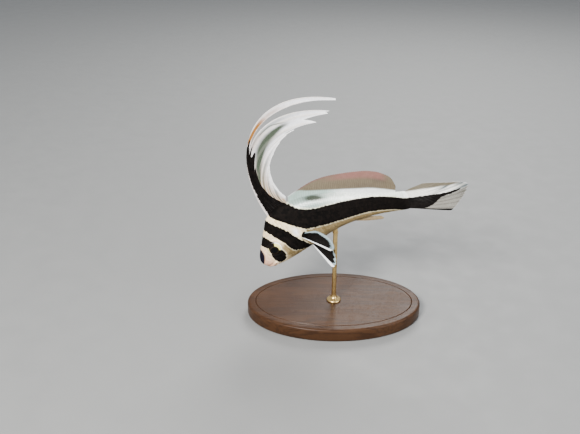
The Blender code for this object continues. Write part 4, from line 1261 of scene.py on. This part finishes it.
def eye_finish():
    """Black pupil turned ahead, a dark iris with a pale crescent behind it, a painted gold glint at its front
    edge, a painted shadow line round its rear rim, and a wet dome.
    """
    finish, tree, shader = new_finish("glass eye", Coat_Weight=0.16, Coat_Roughness=0.02,
                                      Specular_IOR_Level=0.04)
    disc, pupil = painted(tree, "disc"), painted(tree, "pupil")
    spokes = node(tree, "ShaderNodeCombineXYZ", {"X": times(tree, painted(tree, "clock"), 40.0),
                                                 "Y": times(tree, disc, 3.0)}).outputs[0]
    fibres = speckle(tree, spokes, 1.0)
    iris = blend(tree, between(tree, fibres, 0.35, 0.65), (0.0018, 0.0014, 0.0013), (0.0080, 0.0055, 0.0042))
    pale = blend(tree, between(tree, disc, 0.76, 0.82), (0.95, 0.84, 0.24), (0.96, 0.97, 0.97))
    pale = blend(tree, between(tree, fibres, 0.3, 0.7, 0.35, 0.0), pale, (0.40, 0.42, 0.24))
    colour = blend(tree, painted(tree, "crescent"), iris, pale)
    # Painted glint in gold at the front edge of the iris.
    colour = blend(tree, painted(tree, "front"), colour, (0.80, 0.70, 0.34))
    ring = times(tree, between(tree, pupil, 0.47, 0.50), between(tree, pupil, 0.56, 0.52, 0.0, 0.40))
    colour = blend(tree, ring, colour, (0.060, 0.040, 0.020))
    colour = blend(tree, between(tree, pupil, 0.50, 0.48), colour, (0.0008, 0.0008, 0.0010))
    # Painted shadow: a grey-green line round the rear of the rim, under the socket's edge; near black round
    # the rest.
    rim = blend(tree, painted(tree, "behind"), (0.0060, 0.0050, 0.0042), (0.085, 0.100, 0.075))
    grain = speckle(tree, object_place(tree), FINE_GRAIN)
    feed(tree, shader, {
        "Base Color": blend(tree, between(tree, disc, 0.91, 0.95), colour, rim),
        "Roughness": between(tree, grain, 0.3, 0.7, 0.16, 0.30),
        "Normal": bump(tree, fibres, 0.00008, 0.5),
    })
    return finish


# Display stand

BASE_HEIGHT, BASE_ROUNDING = 0.008, 0.0014
ROD_RADIUS, FOOT_RADIUS, FOOT_HEIGHT = 0.00135, 0.0042, 0.0018


def make_base(finish):
    """An oval base: rounded above and below, with a fine scored line round its top."""
    low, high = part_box("stand_base")
    length, width = (high - low).x, (high - low).y
    nothing_selected()
    bpy.ops.mesh.primitive_cylinder_add(vertices=192, radius=length / 2, depth=BASE_HEIGHT,
                                        location=(0, 0, BASE_HEIGHT / 2))
    piece = named("oval_base")
    bpy.ops.object.transform_apply(location=True, rotation=True, scale=True)
    bpy.ops.object.mode_set(mode="EDIT")
    bpy.ops.mesh.select_all(action="SELECT")
    bpy.ops.transform.resize(value=(1, width / length, 1))
    select_faces(piece, lambda face: abs(face.normal.z) > 0.9)
    bpy.ops.mesh.bevel(offset=BASE_ROUNDING, segments=6, profile=0.5, affect="EDGES")
    select_faces(piece, lambda face: face.normal.z > 0.999 and face.area > 0.001)
    bpy.ops.mesh.inset(thickness=0.0032)
    bpy.ops.mesh.inset(thickness=0.00035, depth=-0.00040)
    bpy.ops.mesh.inset(thickness=0.00035, depth=0.00040)
    bpy.ops.mesh.inset(thickness=0.006)
    bpy.ops.object.mode_set(mode="OBJECT")
    bpy.ops.object.shade_smooth_by_angle(angle=math.radians(32))
    return dress(piece, finish, "stand_wood", "stand_base")


def make_rod(finish):
    """A turned rod: a stepped foot, a slim shaft and a small collar under the belly."""
    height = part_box("stand_rod")[1].z - BASE_HEIGHT
    turning = [
        (FOOT_RADIUS, 0.0), (FOOT_RADIUS * 1.02, 0.0003), (FOOT_RADIUS, 0.0009), (FOOT_RADIUS * 0.93, 0.0012),
        (FOOT_RADIUS * 0.74, 0.0016), (FOOT_RADIUS * 0.66, FOOT_HEIGHT), (FOOT_RADIUS * 0.50, 0.0021),
        (FOOT_RADIUS * 0.42, 0.0027), (ROD_RADIUS * 1.12, 0.0036), (ROD_RADIUS, 0.0050),
        (ROD_RADIUS, height * 0.5), (ROD_RADIUS, height - 0.0032), (ROD_RADIUS * 1.22, height - 0.0030),
        (ROD_RADIUS * 1.30, height - 0.0026), (ROD_RADIUS * 1.22, height - 0.0022),
        (ROD_RADIUS, height - 0.0020), (ROD_RADIUS * 0.96, height + 0.0004),
    ]
    nothing_selected()
    bpy.ops.mesh.primitive_circle_add(vertices=40, radius=FOOT_RADIUS, fill_type="NGON",
                                      location=(0, 0, BASE_HEIGHT))
    piece = named("turned_rod")
    bpy.ops.object.transform_apply(location=True, rotation=True, scale=True)
    bpy.ops.object.mode_set(mode="EDIT")
    bpy.ops.mesh.select_all(action="SELECT")
    for (radius, low), (wider, high) in zip(turning, turning[1:]):
        bpy.ops.mesh.extrude_region_move(TRANSFORM_OT_translate={"value": (0, 0, high - low)})
        bpy.ops.transform.resize(value=(wider / radius, wider / radius, 1), center_override=(0, 0, 0))
    tidy_mesh(piece, 0, 38)
    return dress(piece, finish, "stand_brass", "stand_rod")


def rub_group():
    """Wear: a share that is high in scattered rubbed patches and fine scratches."""
    tree, given, out = new_group("rubbed wear", {"Patches": 60.0, "Scratches": 1500.0}, ["Wear", "Grain"])
    place = object_place(tree)
    patches = speckle(tree, place, given["Patches"], 4.0)
    grain = speckle(tree, place, given["Scratches"])
    wear = times(tree, between(tree, patches, 0.48, 0.66), between(tree, grain, 0.40, 0.62))
    feed(tree, out, {"Wear": wear, "Grain": grain})
    return tree


def drawn_out(tree, place, scale):
    """Places stretched along the base, for the grain of its wood."""
    inputs = {"Vector": place, "Rotation": (0.0, 0.0, 0.06), "Scale": scale}
    return node(tree, "ShaderNodeMapping", inputs).outputs[0]


def wood_finish():
    """Dark oiled walnut: growth lines along the base, short pores and a satin varnish."""
    finish, tree, shader = new_finish("oiled walnut", Coat_Weight=0.03, Coat_Roughness=0.30,
                                      Specular_IOR_Level=0.07)
    place = object_place(tree)
    growth = {"Vector": drawn_out(tree, place, (9.0, 150.0, 150.0)), "Scale": 1.0, "Detail": 4.0,
              "Roughness": 0.6, "Distortion": 0.8}
    wander = node(tree, "ShaderNodeTexNoise", growth).outputs["Fac"]
    lines = between(tree, waves(tree, wander, 42.0), -0.7, 0.9)
    pores = speckle(tree, drawn_out(tree, place, (260.0, 3400.0, 3400.0)), 1.0, 2.0)
    pores = between(tree, pores, 0.62, 0.70)
    wear = placed(tree, rub, {"Patches": 45.0, "Scratches": 1400.0})["Wear"]
    colour = blend(tree, wander, (0.022, 0.0095, 0.0045), (0.060, 0.028, 0.013))
    for share, most, tint in ((lines, 0.55, (0.016, 0.008, 0.005)), (pores, 0.7, (0.006, 0.004, 0.003)),
                              (wear, 0.30, (0.080, 0.042, 0.022))):
        colour = blend(tree, times(tree, share, most), colour, tint)
    height = maths(tree, "SUBTRACT", times(tree, lines, 0.3), pores)
    feed(tree, shader, {
        "Base Color": colour,
        "Roughness": between(tree, wear, 0.0, 1.0, 0.34, 0.50),
        "Normal": bump(tree, height, 0.00006, 0.5),
    })
    return finish


def brass_finish():
    """Satin brass with turning lines round it and a little tarnish."""
    finish, tree, shader = new_finish("satin brass", Metallic=1.0)
    height = node(tree, "ShaderNodeSeparateXYZ", {0: object_place(tree)}).outputs["Z"]
    worn = placed(tree, rub, {"Patches": 260.0, "Scratches": 1800.0})
    colour = blend(tree, worn["Wear"], (0.66, 0.45, 0.17), (0.42, 0.27, 0.11))
    feed(tree, shader, {
        "Base Color": blend(tree, times(tree, worn["Grain"], 0.25), colour, (0.83, 0.64, 0.33)),
        "Roughness": between(tree, worn["Grain"], 0.3, 0.7, 0.22, 0.38),
        "Normal": bump(tree, waves(tree, height, 26000.0), 0.00001, 0.5),
    })
    return finish


fin_web = fin_web_group()
rub = rub_group()
# The first dorsal web's dark green cool tint carries its dark line and the painted shade of its folds and
# see-through zone.
sail_coat = fin_finish("first dorsal web", (0.82, 0.82, 0.86), (0.42, 0.29, 0.18), (0.84, 0.78, 0.72),
                       (0.25, 0.105, 0.020), (0.052, 0.070, 0.046), 420.0)
veil_coat = fin_finish("second dorsal web", (0.32, 0.43, 0.395), (0.135, 0.108, 0.070), (0.170, 0.140, 0.098),
                       (0.25, 0.112, 0.100), (0.055, 0.044, 0.042), 90.0)
keel_coat = fin_finish("anal web", (0.30, 0.21, 0.10), (0.24, 0.17, 0.08), (0.36, 0.27, 0.15),
                       (0.30, 0.22, 0.10), (0.040, 0.028, 0.018), 90.0)
tail_coat = fin_finish("tail web", (0.84, 0.83, 0.76), (0.22, 0.22, 0.18), (0.88, 0.88, 0.86),
                       (0.115, 0.096, 0.062), (0.065, 0.088, 0.098), 170.0)
paired_coat = fin_finish("pectoral web", (0.05, 0.045, 0.045), (0.30, 0.42, 0.45), (0.38, 0.47, 0.50),
                         (0.50, 0.44, 0.30), (0.15, 0.18, 0.15), 130.0)

make_sail(sail_coat)
make_veil(veil_coat)
make_keel(keel_coat)
make_tail_fin(tail_coat)
for flank, side in FLANKS:
    make_pectoral(flank, side, paired_coat)
    make_pelvic(flank, side, paired_coat)

glassy = eye_finish()
for flank, side in FLANKS:
    make_eye(flank, side, glassy)

make_base(wood_finish())
make_rod(brass_finish())


# Floor, light and camera

# Name, place, width, power and colour of each lamp
LAMPS = [
    ("key", (-0.34, -0.62, 0.62), 0.30, 23.0, (1.0, 0.97, 0.93)),
    ("fill", (0.62, -0.40, 0.36), 0.60, 6.0, (0.92, 0.96, 1.0)),
    ("rim", (0.18, 0.62, 0.58), 0.40, 8.0, (1.0, 0.99, 0.97)),
]
LAMP_TARGET = (0.0, 0.0, 0.06)


def floor_finish():
    finish, tree, shader = new_finish("pale floor")
    place = object_place(tree)
    grain = speckle(tree, place, 60.0, 4.0)
    feed(tree, shader, {
        "Base Color": blend(tree, grain, (0.172, 0.175, 0.173), (0.188, 0.191, 0.189)),
        "Roughness": between(tree, grain, 0.3, 0.7, 0.62, 0.78),
        "Normal": bump(tree, speckle(tree, place, 900.0), 0.00005, 0.2),
    })
    return finish


def make_floor():
    nothing_selected()
    bpy.ops.mesh.primitive_plane_add(size=8.0, location=(0, 1.5, 0))
    floor = named("floor")
    bpy.ops.object.transform_apply(location=True)
    floor.data.materials.append(floor_finish())


def make_light():
    world = bpy.data.worlds.new("studio")
    bpy.context.scene.world = world
    world.use_nodes = True
    feed(world.node_tree, world.node_tree.nodes["Background"], {"Color": (0.90, 0.94, 1.0, 1.0),
                                                                "Strength": 0.70})
    for name, place, width, power, colour in LAMPS:
        nothing_selected()
        bpy.ops.object.light_add(type="AREA", location=place)
        lamp = bpy.context.active_object
        lamp.name = name
        lamp.data.shape = "DISK"
        lamp.data.size = width
        lamp.data.energy = power
        lamp.data.color = colour
        way = np.array(LAMP_TARGET) - np.array(place)
        tilt = math.acos(-way[2] / np.linalg.norm(way))
        lamp.rotation_euler = (tilt, 0, math.atan2(-way[0], way[1]))


CAMERA_TARGET = (-0.0264, 0.02512, 0.0515)
CAMERA_DISTANCE, CAMERA_ELEVATION = 0.491, math.radians(26)


def make_camera():
    x, y, z = CAMERA_TARGET
    back = CAMERA_DISTANCE * math.cos(CAMERA_ELEVATION)
    rise = CAMERA_DISTANCE * math.sin(CAMERA_ELEVATION)
    bpy.ops.object.camera_add(location=(x, y - back, z + rise))
    camera = bpy.context.active_object
    camera.rotation_euler = (math.pi / 2 - CAMERA_ELEVATION, 0, 0)
    camera.data.lens = 50
    camera.data.sensor_width = 36
    camera.data.clip_start = 0.01
    bpy.context.scene.camera = camera


make_floor()
make_light()
make_camera()
